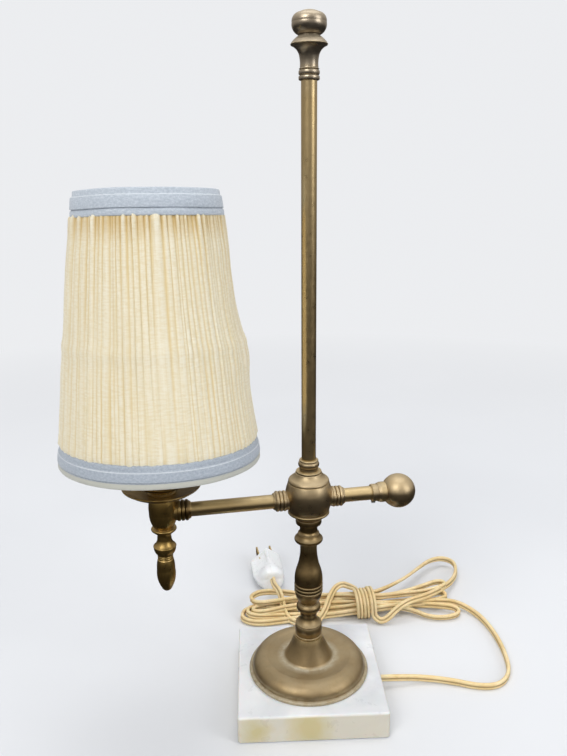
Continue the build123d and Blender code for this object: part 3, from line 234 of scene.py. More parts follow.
def brass(name, dark, mid, light, rough):
    """Old lacquered brass: brown in hollows and patches, rubbed pale on edges, dusty on top, with painted
    highlight high up and painted shade under the lampshade.
    """
    s = Shader(name, Coat_Weight=0.12, Coat_Roughness=0.25)
    patches = s.ramp(s.noise(38.0, 5.0), (0.34, 0.0), (0.68, 1.0))
    tint = s.mix(patches, mid, light)
    stain = s.ramp(s.noise(130.0, 6.0, 0.65), (0.50, 0.0), (0.75, 0.55))
    tint = s.mix(stain, tint, [c * 0.62 for c in mid])
    specks = s.ramp(s.noise(620.0, 3.0, 0.6), (0.66, 0.0), (0.74, 0.5))
    tint = s.mix(specks, tint, dark)

    spot = s.split(s.place.outputs["Object"])
    along_arm = s.math("ADD", spot["X"], ARM_SHIFT)
    past_cup = s.ramp(along_arm, *PAST_CUP)
    # Painted highlight and rubbed brass, high up and away from the cup.
    lit_and_rubbed = s.math("MULTIPLY", s.ramp(spot["Z"], *LIT_AND_RUBBED_BY_HEIGHT), past_cup)
    bright = s.mix(0.5, s.mix(1.0, tint, LIT_AND_RUBBED_LIFT, "MULTIPLY"), LIT_AND_RUBBED_TINT)
    tint = s.mix(s.ramp(along_arm, *CUP_PLACE), tint, CUP_TINT)
    # Painted shadow of the lampshade on the arm tube, and the column's darker tone.
    shadowed_and_toned = s.mix(1.0, tint, s.ramp(along_arm, *SHADOW_AND_TONE_ALONG_ARM), "MULTIPLY")
    tint = s.mix(lit_and_rubbed, shadowed_and_toned, bright)
    tint = s.mix(s.ramp(spot["Z"], *FINIAL_BY_HEIGHT), tint, FINIAL_GREY)

    geometry = s.add("ShaderNodeNewGeometry")
    hollow = s.ramp(geometry.outputs["Pointiness"], (0.41, 1.0), (0.492, 0.0))
    edge = s.ramp(geometry.outputs["Pointiness"], (0.525, 0.0), (0.60, 0.65))
    tint = s.mix(hollow, tint, dark)
    tint = s.mix(edge, tint, EDGE_TINT)

    upward = s.ramp(s.split(geometry.outputs["Normal"])["Z"], (0.10, 0.0), (0.95, 0.62))
    settled = s.ramp(s.noise(85.0, 5.0, 0.65), (0.30, 0.45), (0.70, 1.0))
    dust = s.math("MULTIPLY", upward, settled)
    # Less dust on the arm under the lampshade: painted shade.
    dust = s.math("MULTIPLY", dust, s.ramp(past_cup, (0.0, 0.4), (1.0, 1.0)))
    flat = s.vector_math("MULTIPLY", s.place.outputs["Object"], (1, 1, 0), "Vector")
    from_column = s.math("MULTIPLY", s.vector_math("LENGTH", flat), RINGS_ZOOM)
    on_foot = s.ramp(s.math("MULTIPLY", spot["Z"], FOOT_ZOOM), *FOOT_HEIGHT)
    # Pale rings on the foot: dust, and painted highlight.
    dust_and_highlight_rings = s.math("MULTIPLY", s.ramp(from_column, *DUST_AND_HIGHLIGHT_RINGS), on_foot)
    broken = s.ramp(s.noise(240.0, 5.0, 0.7), (0.30, 0.25), (0.65, 1.0))
    dust_and_highlight_rings = s.math("MULTIPLY", dust_and_highlight_rings, broken)
    s.colour(s.mix(dust_and_highlight_rings, s.mix(dust, tint, DUST_TINT), RING_DUST_AND_HIGHLIGHT_TINT))
    dust = s.math("MAXIMUM", dust, dust_and_highlight_rings)
    s.set(s.bsdf, {"Metallic": s.math("SUBTRACT", 1.0, dust, clamp=True)})

    matt = s.ramp(s.noise(220.0, 6.0, 0.7), (0.3, rough - 0.06), (0.7, rough + 0.1))
    s.roughness(s.mix(dust, matt, (0.85, 0.85, 0.85)))
    grain = s.noise(900.0, 3.0, 0.6, vector=s.at((1, 1, 0.25)))
    fine = s.bump(grain, 0.12, 0.0002)
    s.bump(s.noise(60.0, 3.0), 0.05, 0.0006, fine)
    return s.material


def metal(name, tint, rough, grain=600.0):
    """Plain metal, a little darker in patches and uneven in its shine."""
    s = Shader(name, Metallic=1.0)
    patches = s.ramp(s.noise(300.0, 4.0), (0.35, 0.0), (0.7, 1.0))
    s.colour(s.mix(patches, tint, [c * 0.72 for c in tint]))
    s.roughness(s.ramp(s.noise(grain, 4.0), (0.3, rough), (0.7, rough + 0.12)))
    s.bump(s.noise(grain, 3.0), 0.06, 0.0001)
    return s.material


# ---- Marble ----------------------------------------------------------------------------------
MARBLE_WHITE = (0.80, 0.81, 0.82)
MARBLE_CLOUD = (0.56, 0.58, 0.605)
MARBLE_VEIN = (0.48, 0.49, 0.50)
MARBLE_SIDE_SHADE = (0.62, 0.565, 0.43)
# Each spot is (its middle, its reach), in metres.
STAINS = (
    ((-0.039, -0.051, 0.009), 0.019), ((-0.003, -0.051, 0.010), 0.026),
    ((0.0, 0.051, 0.008), 0.022),
)
STAIN_TINT = (0.57, 0.485, 0.235)
GREY_SPOTS = (
    ((0.040, -0.037, 0.0165), 0.021), ((0.047, -0.008, 0.0165), 0.017),
    ((-0.036, 0.044, 0.0165), 0.019), ((-0.044, -0.020, 0.0165), 0.013),
)
GREY_TINT = (0.58, 0.60, 0.615)


def marble():
    """White marble: soft grey clouds and faint veins, with yellow stains on its worn front, and painted shade on
    its upright sides.
    """
    s = Shader("marble", Subsurface_Weight=0.15, Subsurface_Scale=0.004)
    clouds = s.ramp(s.noise(19.0, 4.0, 0.55, 0.4), (0.43, 0.0), (0.68, 1.0))
    white = s.mix(s.math("MULTIPLY", clouds, 0.75), MARBLE_WHITE, MARBLE_CLOUD)
    turned = s.add(
        "ShaderNodeMapping", Vector=s.place.outputs["Object"], Rotation=(0.3, 0.5, 0.9),
    )
    veins = s.waves(
        "X",
        Scale=2.6,
        Distortion=9.0,
        Detail=4.0,
        Detail_Scale=1.0,
        Detail_Roughness=0.55,
        Vector=turned.outputs["Vector"],
    )
    vein = s.ramp(veins, (0.0, 0.30), (0.12, 0.10), (0.4, 0.0))
    patchy = s.ramp(s.noise(18.0, 2.0), (0.45, 0.0), (0.65, 1.0))
    body = s.mix(s.math("MULTIPLY", vein, patchy), white, MARBLE_VEIN)
    facing = s.split(s.add("ShaderNodeNewGeometry").outputs["Normal"])
    upright = s.math("SUBTRACT", 1.0, s.math("ABSOLUTE", facing["Z"]), clamp=True)
    # The upright sides are darker and yellower than the top: painted shade.
    tint = s.mix(s.math("MULTIPLY", upright, 0.75), body, MARBLE_SIDE_SHADE)
    for middle, reach in STAINS:
        stain = s.blot(middle, reach, 110.0, 0.012, (0.45, 0.85), (1.0, 0.0))
        tint = s.mix(s.math("MULTIPLY", stain, upright), tint, STAIN_TINT)
    for middle, reach in GREY_SPOTS:
        cloud = s.blot(middle, reach, 95.0, 0.014, (0.35, 0.55), (1.0, 0.0))
        tint = s.mix(cloud, tint, GREY_TINT)
    s.colour(tint)
    s.roughness(s.ramp(s.noise(90.0, 5.0), (0.3, 0.24), (0.7, 0.42)))
    s.bump(s.noise(420.0, 4.0, 0.6), 0.08, 0.0002)
    return s.material


# ---- Cloth -----------------------------------------------------------------------------------
CLOTH_GOLD = (0.80, 0.68, 0.42)
CLOTH_PALE = (0.96, 0.92, 0.77)
CLOTH_VALLEY_SHADE = (0.76, 0.57, 0.25)
CLOTH_SHADOW = (0.66, 0.45, 0.16)
CLOTH_AGED = (0.84, 0.74, 0.52)
CLOTH_GLOW = (0.92, 0.84, 0.62, 1)
TAPE_PALE = (0.64, 0.68, 0.72)
TAPE_DARK = (0.30, 0.345, 0.40)
LOWER_TAPE_SHADE = (0.69, 0.70, 0.72)
LOWER_TAPE_SHADE_HEIGHT = ((0.24, 0.62), (0.26, 0.0))
TAPE_AGED = (0.47, 0.465, 0.40)
TAPE_FOLD_SHADE = (0.16, 0.18, 0.21)
TAPE_PIPING = (0.72, 0.74, 0.76)
# A wave texture of scale 1 has 20 / (2 pi) bands to the metre.
WAVE_BANDS = 20 / (2 * math.pi)


def woven(name, tint, shade, thread, relief):
    """Plain weave read from the cloth's own UV, in metres. Gives its shader, colour and relief."""
    s = Shader(name, Roughness=0.82, Sheen_Weight=0.25)
    per_metre = 1.0 / thread
    bands = []
    for direction, stretch in (("X", (1, 0.15, 1)), ("Y", (0.15, 1, 1))):
        band = s.waves(
            direction,
            Scale=per_metre / WAVE_BANDS,
            Distortion=1.1,
            Detail=2.0,
            Detail_Scale=2.0,
            Vector=s.at(source="UV"),
        )
        wobble = s.noise(per_metre * 0.35, 3.0, 0.6, vector=s.at(stretch, "UV"))
        slub = s.ramp(wobble, (0.35, 0.55), (0.7, 1.0))
        bands.append(s.math("MULTIPLY", band, slub))
    weave = s.math("MAXIMUM", bands[0], bands[1])
    colour = s.mix(s.ramp(weave, (0.1, 0.32), (0.75, 0.0)), tint, shade)
    return s, colour, s.bump(weave, 0.35, relief)


def pleated_cloth():
    """Aged cream cotton: paler on the crests of the pleats, with painted shade, golden, down between them."""
    s, tint, weave_relief = woven(
        "shade_cloth", (0.93, 0.87, 0.70), (0.84, 0.76, 0.56), 0.00042, 0.00012,
    )
    ripple = s.noise(900.0, 2.5, 0.6, vector=s.at((0.22, 1, 1), "UV"))
    tint = s.mix(s.ramp(ripple, (0.40, 0.0), (0.64, 0.62)), tint, CLOTH_GOLD)
    # Golden and pale streaks along the fine gathers: painted shade and painted highlight.
    gathers = s.noise(520.0, 2.0, 0.6, vector=s.at((1, 0.035, 1), "UV"))
    tint = s.mix(s.ramp(gathers, (0.34, 0.5), (0.47, 0.0)), tint, CLOTH_GOLD)
    tint = s.mix(s.ramp(gathers, (0.52, 0.0), (0.66, 0.5)), tint, CLOTH_PALE)
    # Golden down in the pleats' valleys: painted shade.
    tint = s.mix(s.ramp(s.attribute("crest"), (0.0, 0.95), (0.75, 0.0)), tint, CLOTH_VALLEY_SHADE)
    tint = s.mix(s.attribute("under"), tint, CLOTH_SHADOW)
    age = s.ramp(s.noise(14.0, 4.0, 0.6), (0.48, 0.0), (0.78, 0.35))
    s.colour(s.mix(age, tint, CLOTH_AGED))
    s.bump(ripple, 0.22, 0.0004, weave_relief)
    thin = s.add("ShaderNodeBsdfTranslucent", Color=CLOTH_GLOW)
    s.surface(s.blend(0.22, s.bsdf.outputs[0], thin.outputs[0]))
    return s.material


def tape_cloth():
    """Pale blue woven tape with lint on it: painted shade makes it darker low on the lampshade and dark in its
    fold; it is yellowed under its edge.
    """
    s, tint, weave_relief = woven(
        "trim_tape", (0.435, 0.483, 0.54), (0.31, 0.355, 0.41), 0.00046, 0.00014,
    )
    lint = s.noise(560.0, 4.0, 0.75, vector=s.at((1, 1.5, 1), "UV"))
    tint = s.mix(s.ramp(lint, (0.48, 0.0), (0.68, 0.6)), tint, TAPE_PALE)
    tint = s.mix(s.ramp(lint, (0.34, 0.45), (0.48, 0.0)), tint, TAPE_DARK)
    # Darker and greyer on the bottom tape, which faces down: painted shade.
    shaded_low = s.ramp(s.split(s.place.outputs["Object"])["Z"], *LOWER_TAPE_SHADE_HEIGHT)
    tint = s.mix(shaded_low, tint, s.mix(1.0, tint, LOWER_TAPE_SHADE, "MULTIPLY"))
    tint = s.mix(s.attribute("aged"), tint, TAPE_AGED)
    # A dark line along the tape's fold: painted shade.
    tint = s.mix(s.attribute("fold_shade"), tint, TAPE_FOLD_SHADE)
    piped = s.math("MULTIPLY", s.attribute("piping"), 0.6)
    s.colour(s.mix(piped, tint, TAPE_PIPING))
    s.bump(lint, 0.2, 0.0004, weave_relief)
    return s.material


# ---- Plastic, fibre and glass ----------------------------------------------------------------
CORD_DARK = (0.74, 0.555, 0.265)
CORD_LIGHT = (0.88, 0.72, 0.43)
CORD_GRIME = (0.42, 0.29, 0.12)
CORD_GROOVE_DIRT_AND_SHADE = (0.27, 0.165, 0.055)


def cord_vinyl():
    """Yellowed soft vinyl, with grime in patches, and grime with painted shade in the groove between its two
    cores.
    """
    s = Shader("cord_pvc", Subsurface_Weight=0.08, Subsurface_Scale=0.002)
    age = s.ramp(s.noise(60.0, 4.0), (0.35, 0.0), (0.7, 1.0))
    tint = s.mix(age, CORD_DARK, CORD_LIGHT)
    grime = s.ramp(s.noise(320.0, 5.0, 0.7), (0.55, 0.0), (0.78, 0.55))
    tint = s.mix(grime, tint, CORD_GRIME)
    # The groove between the cores is darkened: grime and painted shade.
    groove = s.math("MULTIPLY", s.attribute("groove"), 0.72)
    s.colour(s.mix(groove, tint, CORD_GROOVE_DIRT_AND_SHADE))
    s.roughness(s.ramp(s.noise(180.0, 4.0), (0.3, 0.34), (0.7, 0.52)))
    s.bump(s.noise(500.0, 3.0), 0.08, 0.0002)
    return s.material


def plastic(name, tint, soiled, rough):
    """Hard smooth plastic or porcelain, soiled in patches."""
    s = Shader(name, Subsurface_Weight=0.05, Subsurface_Scale=0.002)
    s.colour(s.mix(s.ramp(s.noise(90.0, 5.0, 0.6), (0.5, 0.0), (0.8, 0.5)), tint, soiled))
    s.roughness(s.ramp(s.noise(400.0, 4.0), (0.3, rough - 0.06), (0.7, rough + 0.1)))
    s.bump(s.noise(1100.0, 3.0), 0.08, 0.0001)
    return s.material


def fibre(name, tint, other, scale):
    """Felt, card or lining, with its fibres as fine noise."""
    s = Shader(name, Roughness=0.95, Sheen_Weight=0.2)
    s.colour(s.mix(s.ramp(s.noise(scale, 6.0, 0.7), (0.35, 0.0), (0.65, 1.0)), tint, other))
    s.bump(s.noise(scale * 2, 5.0, 0.7), 0.4, 0.0003)
    return s.material


def frosted_glass():
    s = Shader("glass", IOR=1.46, Transmission_Weight=0.45)
    cloudy = s.ramp(s.noise(40.0, 3.0), (0.4, 0.0), (0.7, 1.0))
    s.colour(s.mix(cloudy, (0.95, 0.95, 0.93), (0.90, 0.90, 0.87)))
    s.roughness(s.ramp(s.noise(300.0, 3.0), (0.3, 0.30), (0.7, 0.40)))
    s.bump(s.noise(500.0, 3.0), 0.03, 0.0001)
    return s.material


MATERIALS = {
    "antique_brass": brass(
        "antique_brass", (0.045, 0.027, 0.009), (0.245, 0.172, 0.068), (0.38, 0.290, 0.140), 0.31,
    ),
    "bright_brass": metal("bright_brass", (0.74, 0.56, 0.27), 0.26),
    "steel": metal("steel", (0.56, 0.56, 0.57), 0.32),
    "marble": marble(),
    "felt": fibre("felt", (0.035, 0.06, 0.03), (0.06, 0.09, 0.05), 900.0),
    "card": fibre("card", (0.45, 0.33, 0.19), (0.36, 0.26, 0.15), 500.0),
    "shade_liner": fibre("shade_liner", (0.83, 0.79, 0.70), (0.76, 0.71, 0.60), 260.0),
    "porcelain": plastic("porcelain", (0.80, 0.78, 0.72), (0.62, 0.58, 0.48), 0.40),
    "glass": frosted_glass(),
    "cord_pvc": cord_vinyl(),
    "plug_plastic": plastic("plug_plastic", (0.88, 0.89, 0.89), (0.80, 0.79, 0.75), 0.30),
    "lead_insulation": plastic("lead_insulation", (0.78, 0.74, 0.64), (0.60, 0.55, 0.44), 0.5),
    "shade_cloth": pleated_cloth(),
    "trim_tape": tape_cloth(),
}
for subpart in frame["record"]["subparts"]:
    mesh = nodes[subpart["node"]].data
    mesh.materials.clear()
    mesh.materials.append(MATERIALS[subpart["material_slot"]])


# ---- Meshes ----------------------------------------------------------------------------------
def new_mesh(name, vertices, faces, slot, uvs=None, attributes=None):
    mesh = bpy.data.meshes.new(name)
    mesh.from_pydata([tuple(v) for v in vertices], [], faces)
    mesh.update()
    for polygon in mesh.polygons:
        polygon.use_smooth = True
    if uvs:
        layer = mesh.uv_layers.new(name="UVMap")
        for loop in mesh.loops:
            layer.data[loop.index].uv = uvs[loop.vertex_index]
    for key, values in (attributes or {}).items():
        mesh.attributes.new(key, "FLOAT", "POINT").data.foreach_set("value", values)
    mesh.materials.append(MATERIALS[slot])
    piece = bpy.data.objects.new(name, mesh)
    scene.collection.objects.link(piece)
    return piece


def ring_faces(rings, around):
    """The four-sided faces between rings of vertices that follow each other."""
    faces = []
    for ring in range(rings - 1):
        for k in range(around):
            a = ring * around + k
            b = ring * around + (k + 1) % around
            faces.append((a, b, b + around, a + around))
    return faces


def close_seam(piece, whole):
    """Carries the UV of the last faces round a piece on to its whole width."""
    layer = piece.data.uv_layers[0].data
    for polygon in piece.data.polygons:
        corners = list(polygon.loop_indices)
        widest = max(layer[c].uv[0] for c in corners)
        for c in corners:
            if widest - layer[c].uv[0] > whole / 2:
                layer[c].uv = (layer[c].uv[0] + whole, layer[c].uv[1])


NURBS_RESOLUTION = 7


def nurbs_line(points):
    """The points that a smooth NURBS spline through a route follows."""
    curve = bpy.data.curves.new("route", "CURVE")
    curve.dimensions = "3D"
    curve.resolution_u = NURBS_RESOLUTION
    spline = curve.splines.new("NURBS")
    spline.points.add(len(points) - 1)
    for control, point in zip(spline.points, points):
        control.co = (*point, 1.0)
    spline.order_u = 3
    spline.use_endpoint_u = True
    spline.resolution_u = NURBS_RESOLUTION
    route = bpy.data.objects.new("route", curve)
    scene.collection.objects.link(route)
    bpy.context.view_layer.update()
    mesh = bpy.data.meshes.new_from_object(route)
    line = [v.co.copy() for v in mesh.vertices]
    bpy.data.objects.remove(route)
    bpy.data.curves.remove(curve)
    bpy.data.meshes.remove(mesh)
    return line


# ---- Cord ------------------------------------------------------------------------------------
CORD_WIDTH = 5.4
CORD_THICKNESS = 2.8
CORD_SIDES = 28
# The web between the two cores, as a share of half the thickness, and half the groove's width.
WEB_SHARE = 0.66
GROOVE_HALF = 0.62
# Each point is (x, y, z, lean) in mm and degrees: the cord stands on its edge at 90 and lies flat
# at 0.
SUPPLY = [
    (50.8, 0.0, 7.5, 90), (64.0, 0.4, 7.2, 90), (84.0, 3.2, 4.2, 88), (106.0, -0.4, 3.1, 86),
    (124.0, -7.4, 2.7, 88), (140.0, -7.0, 2.7, 90), (151.0, 5.5, 2.7, 90), (155.0, 22.0, 2.7, 90),
    (156.5, 45.0, 2.8, 90), (154.5, 66.0, 3.0, 86), (149.0, 84.0, 3.4, 82), (136.5, 97.5, 5.2, 76),
    (120.0, 97.5, 7.4, 72), (98.6, 92.0, 9.4, 72),
]
FOLDS = [
    # under the binding to the outer left loop, and back
    (76.0, 87.5, 9.5, 80), (54.0, 85.5, 8.5, 86), (28.0, 84.8, 5.5, 80), (-2.0, 84.0, 3.6, 70),
    (-25.0, 80.6, 3.0, 66), (-40.0, 80.0, 3.2, 70), (-50.0, 86.5, 3.6, 80), (-48.0, 97.0, 4.4, 80),
    (-36.0, 101.0, 5.2, 74), (-14.0, 99.0, 4.2, 80), (14.0, 97.5, 3.4, 86), (40.0, 97.0, 4.4, 90),
    (60.0, 97.5, 6.2, 90), (84.0, 101.5, 4.6, 86), (104.0, 106.0, 4.2, 84),
    # the short right loop, and back inside the outer left one
    (119.5, 113.0, 5.4, 86), (129.0, 113.2, 5.8, 86), (129.4, 104.6, 5.2, 84),
    (118.0, 102.2, 4.8, 84), (96.0, 98.5, 4.4, 86), (62.0, 91.5, 4.4, 90), (38.0, 90.5, 3.2, 90),
    (8.0, 88.8, 3.4, 84), (-18.0, 86.2, 5.2, 70), (-36.0, 83.6, 6.6, 70), (-45.5, 87.0, 7.8, 80),
    (-43.0, 95.5, 8.4, 80), (-30.0, 96.0, 7.4, 80), (-8.0, 92.5, 5.4, 84), (16.0, 91.5, 5.8, 88),
    (40.0, 89.5, 9.2, 90), (62.0, 87.5, 13.2, 90),
    # the low right loop in front, and back
    (84.0, 91.5, 6.4, 76), (98.0, 88.0, 4.4, 64), (108.0, 80.3, 3.2, 60), (124.0, 78.8, 3.0, 66),
    (135.5, 83.0, 3.8, 82), (133.5, 90.2, 5.0, 84), (118.0, 93.0, 6.0, 78), (92.0, 94.0, 7.6, 84),
    (60.0, 92.5, 10.6, 90), (34.0, 94.0, 10.6, 88), (6.0, 93.0, 10.6, 78), (-12.0, 90.5, 10.2, 66),
    (-27.0, 86.0, 9.4, 64), (-39.5, 85.6, 9.2, 76), (-40.5, 92.0, 9.6, 80), (-26.0, 96.0, 10.0, 76),
    (-2.0, 98.5, 9.8, 80), (30.0, 98.5, 9.4, 86), (62.0, 97.5, 11.8, 88), (86.0, 103.0, 11.8, 84),
    (107.0, 111.5, 12.4, 80),
    # the long middle loop, and back to the top left one
    (126.0, 121.6, 12.4, 80), (132.6, 114.6, 11.6, 82), (112.0, 107.2, 10.4, 80),
    (88.0, 101.5, 12.4, 82), (62.0, 93.5, 15.6, 86), (36.0, 99.0, 14.0, 84), (8.0, 106.5, 10.6, 76),
    (-14.0, 115.5, 9.6, 70), (-33.0, 115.5, 10.6, 72), (-43.0, 104.0, 12.4, 78),
    (-37.5, 91.5, 14.0, 74), (-22.0, 92.5, 15.0, 70), (2.0, 98.0, 14.6, 74),
    (34.0, 102.5, 13.4, 80), (60.0, 99.5, 14.2, 80),
]
TALL_LOOP = [
    (80.0, 111.5, 14.5, 50), (97.0, 128.0, 12.0, 46), (113.0, 146.5, 10.6, 54),
    (127.0, 162.5, 9.0, 70), (141.5, 169.5, 7.4, 82), (151.0, 162.0, 6.8, 86),
    (149.5, 147.0, 6.4, 82), (141.0, 129.0, 6.8, 74), (124.0, 110.0, 10.0, 64),
    (106.5, 92.5, 15.0, 56), (90.5, 84.5, 16.6, 56), (79.5, 79.5, 12.0, 60), (73.0, 77.0, 6.0, 60),
    (66.5, 76.0, 3.4, 60),
]
# The hank's middle and the half-size of the turns round it, as (y, z). The first turn is bigger
# than the others. The points from BIND_FROM to BIND_TO leave out the start of the first turn and
# the end of the last one, where the cord comes in from the front and goes out over the top.
BIND_MIDDLE = (92.0, 11.2)
BIND_HALF = (11.4, 10.6)
BIND_SQUARENESS = 0.10
BIND_FIRST_TURN = 1.10
BIND_START = math.radians(115)
BIND_START_X = 63.0
BIND_PITCH = 5.75
BIND_POINTS = 12
BIND_FROM = 3
BIND_TO = 33
BIND_FLOOR = 1.6


def binding():
    """The cord's own turns round the hank: up in front of it, over it, down behind and under."""
    points = []
    for i in range(BIND_FROM, BIND_TO):
        angle = 2 * math.pi * (i / BIND_POINTS) - BIND_START
        size = 1 + BIND_SQUARENESS * abs(math.sin(2 * angle))
        if i < BIND_POINTS:
            size *= BIND_FIRST_TURN
        x = BIND_START_X - BIND_PITCH * i / BIND_POINTS
        y = BIND_MIDDLE[0] - BIND_HALF[0] * size * math.cos(angle)
        z = BIND_MIDDLE[1] + BIND_HALF[1] * size * math.sin(angle)
        points.append((x, y, max(z, BIND_FLOOR), None))
    return points


ARCH = [
    (43.8, 105.0, 19.6, 40), (38.0, 109.5, 19.6, 40), (31.0, 104.0, 19.5, 46),
    (25.0, 93.0, 16.0, 50), (20.5, 84.5, 9.5, 56), (14.5, 79.6, 3.4, 60), (3.0, 78.0, 2.7, 70),
]
PLUG_LEAD = [
    (-8.0, 80.5, 3.0, 70), (-13.5, 88.0, 6.0, 60), (-15.6, 97.0, 16.6, 44),
    (-17.8, 108.0, 16.6, 40), (-20.4, 118.0, 14.2, 40), (-21.8, 126.0, 12.8, 40),
    (-22.2, 134.0, 12.2, 40),
]


def cord_hints(route):
    """The way the cord's width points at each point of its route. Round the hank it lies flat."""
    hints = []
    for i, (_, _, _, lean) in enumerate(route):
        before = Vector(route[max(i - 1, 0)][:3])
        after = Vector(route[min(i + 1, len(route) - 1)][:3])
        side = (after - before).cross(Vector((0, 0, 1)))
        if lean is None or side.length < 1e-6:
            hint = Vector((1, 0, 0))
        else:
            tipped = math.radians(lean)
            hint = side.normalized() * math.cos(tipped) + Vector((0, 0, math.sin(tipped)))
        if hints and hint.dot(hints[-1]) < 0:
            hint = -hint
        hints.append(hint)
    return hints


def cord_profile():
    """Section of the cord as (across its width, through it, grooved or not)."""
    half = CORD_THICKNESS / 2
    core = (CORD_WIDTH - CORD_THICKNESS) / 2
    web = half * WEB_SHARE
    profile = []
    for k in range(CORD_SIDES):
        turn = 2 * math.pi * (k + 0.5) / CORD_SIDES
        chord = math.sqrt(max(half ** 2 - (core * math.sin(turn)) ** 2, 0))
        reach = core * abs(math.cos(turn)) + chord
        a = reach * math.cos(turn)
        b = reach * math.sin(turn)
        if abs(b) < web and abs(a) < core:
            b = math.copysign(web, b)
        profile.append((a * MM, b * MM, 1.0 if abs(a) < GROOVE_HALF else 0.0))
    return profile


def flat_cord():
    """The two-core cord along its whole route, with its centre line and its length."""
    route = SUPPLY + FOLDS + TALL_LOOP + binding() + ARCH + PLUG_LEAD
    line = nurbs_line([Vector(p[:3]) * MM for p in route])
    widths = nurbs_line(cord_hints(route))
    profile = cord_profile()
    vertices, groove = [], []
    last = len(line) - 1
    for i, point in enumerate(line):
        tangent = (line[min(i + 1, last)] - line[max(i - 1, 0)]).normalized()
        width = (widths[i] - tangent * widths[i].dot(tangent)).normalized()
        thin = tangent.cross(width)
        for a, b, dirt in profile:
            vertices.append(point + width * a + thin * b)
            groove.append(dirt)
    faces = ring_faces(len(line), CORD_SIDES)
    faces.append(tuple(reversed(range(CORD_SIDES))))
    faces.append(tuple(last * CORD_SIDES + k for k in range(CORD_SIDES)))
    piece = new_mesh("flat_cord", vertices, faces, "cord_pvc", attributes={"groove": groove})
    length = sum((b - a).length for a, b in zip(line, line[1:]))
    return piece, line, length


# ---- Plug ------------------------------------------------------------------------------------
PLUG_HOLE = Vector((-22.2, 133.0, 12.2)) * MM
PLUG_LENGTH = 42.0
PLUG_HEIGHT = 20.5
PLUG_YAW = math.radians(6.0)
# The blade end, as (right, up) from the plug's middle, from the ridge on top round to the right.
PLUG_END = [
    (0.8, 10.9), (12.0, 2.9), (12.4, -4.8), (7.0, -10.2),
    (-6.6, -10.2), (-14.6, -7.0), (-16.0, -2.2), (-0.8, 10.9),
]
# How the section grows from the cord to the blade end: (distance, size, rise of its middle).
PLUG_GROWTH = [
    (0.0, 0.26, 1.9), (0.3, 0.50, 1.5), (1.2, 0.70, 0.9), (3.0, 0.86, 0.3), (6.0, 0.96, 0.0),
    (9.0, 1.0, 0.0), (41.2, 1.0, 0.0), (41.8, 0.98, 0.0), (42.0, 0.94, 0.0),
]
PLUG_EDGE_POINTS = 12
PLUG_ROWS = 70
PLUG_CROWDING = 1.6
PLUG_CREASE = math.radians(22)
# The rounded heel at the cord: its length, radius, half height and slope.
HEEL_LENGTH = 16.0
HEEL_R = 12.0
HEEL_HALF_HEIGHT = 10.2
HEEL_SLOPE = 0.6
CORNER_SOFTENING = 0.03
CORNER_SHARPNESS = 6
# The finger's hollow: along the plug, round its section in edges, and its depth.
RECESS = (19.0, 38.5)
RECESS_SIDE = (6.14, 6.88)
RECESS_DEPTH = 2.2


def grown(distance):
    """Size and rise of the plug's section at a distance from the cord."""
    for (a, size_a, rise_a), (b, size_b, rise_b) in zip(PLUG_GROWTH, PLUG_GROWTH[1:]):
        if distance <= b:
            t = (distance - a) / (b - a)
            return size_a + (size_b - size_a) * t, rise_a + (rise_b - rise_a) * t
    return PLUG_GROWTH[-1][1:]


def plug_point(distance, share):
    """A point of the plug, in mm from the cord's hole. The share counts edges round its section."""
    size, lift = grown(distance)
    blunt = max(1 - distance / HEEL_LENGTH, 0.0)
    corners = len(PLUG_END)
    a, b = PLUG_END[int(share) % corners], PLUG_END[(int(share) + 1) % corners]
    t = share % 1
    x, z = a[0] + (b[0] - a[0]) * t, a[1] + (b[1] - a[1]) * t
    reach = math.hypot(x, z)
    rounded = min(HEEL_R / reach, HEEL_HALF_HEIGHT / max(abs(z), 0.1))
    size *= (1 - blunt) + blunt * rounded
    size *= 1 - CORNER_SOFTENING * max(math.cos(2 * math.pi * t), 0.0) ** CORNER_SHARPNESS
    if RECESS_SIDE[0] <= share <= RECESS_SIDE[1] and RECESS[0] <= distance <= RECESS[1]:
        size *= 1 - RECESS_DEPTH / reach
    heel = HEEL_SLOPE * blunt * max(-z * size, 0.0)
    return Vector((x * size, distance - heel, z * size + lift))


def plug_cover():
    """The plug's moulded body: rounded at the cord, flat at the blades, with a finger's hollow."""
    middle = (PLUG_HOLE.x, PLUG_HOLE.y, PLUG_HEIGHT / 2 * MM)
    place = Matrix.Translation(middle) @ Matrix.Rotation(PLUG_YAW, 4, "Z")
    around = len(PLUG_END) * PLUG_EDGE_POINTS
    vertices = []
    for row in range(PLUG_ROWS + 1):
        distance = PLUG_LENGTH * (row / PLUG_ROWS) ** PLUG_CROWDING
        for k in range(around):
            vertices.append(place @ (plug_point(distance, k / PLUG_EDGE_POINTS) * MM))
    faces = [tuple(reversed(face)) for face in ring_faces(PLUG_ROWS + 1, around)]
    faces.append(tuple(range(around)))
    faces.append(tuple(PLUG_ROWS * around + k for k in reversed(range(around))))
    piece = new_mesh("moulded_plug", vertices, faces, "plug_plastic")
    piece.data.set_sharp_from_angle(angle=PLUG_CREASE)
    return piece


plug = plug_cover()
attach(plug, "base")
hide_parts("plug_body")

cord, cord_line, cord_length = flat_cord()
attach(cord, "base")
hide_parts("supply_cord", "cord_loop", "cord_hank", "plug_lead")


# ---- Shade's outline -------------------------------------------------------------------------
# How far the old fabric stands off its cone, as (height, stand-off) in mm, up each side of it.
# The sides are turned by SIDE_TURN, to where the camera sees them.
RIGHT_SIDE = [
    (0, 0.0), (20, 1.2), (36, 1.1), (66, 1.2), (81, 1.3), (97, 1.0), (113, 1.5), (133, 2.4),
    (151, 2.2), (166, 2.4),
]
LEFT_SIDE = [
    (0, -1.7), (17, -0.7), (43, -0.5), (61, 0.0), (81, 0.3), (106, 0.7), (124, 0.8), (142, 0.2),
    (166, -0.4),
]
SIDE_TURN = 0.13
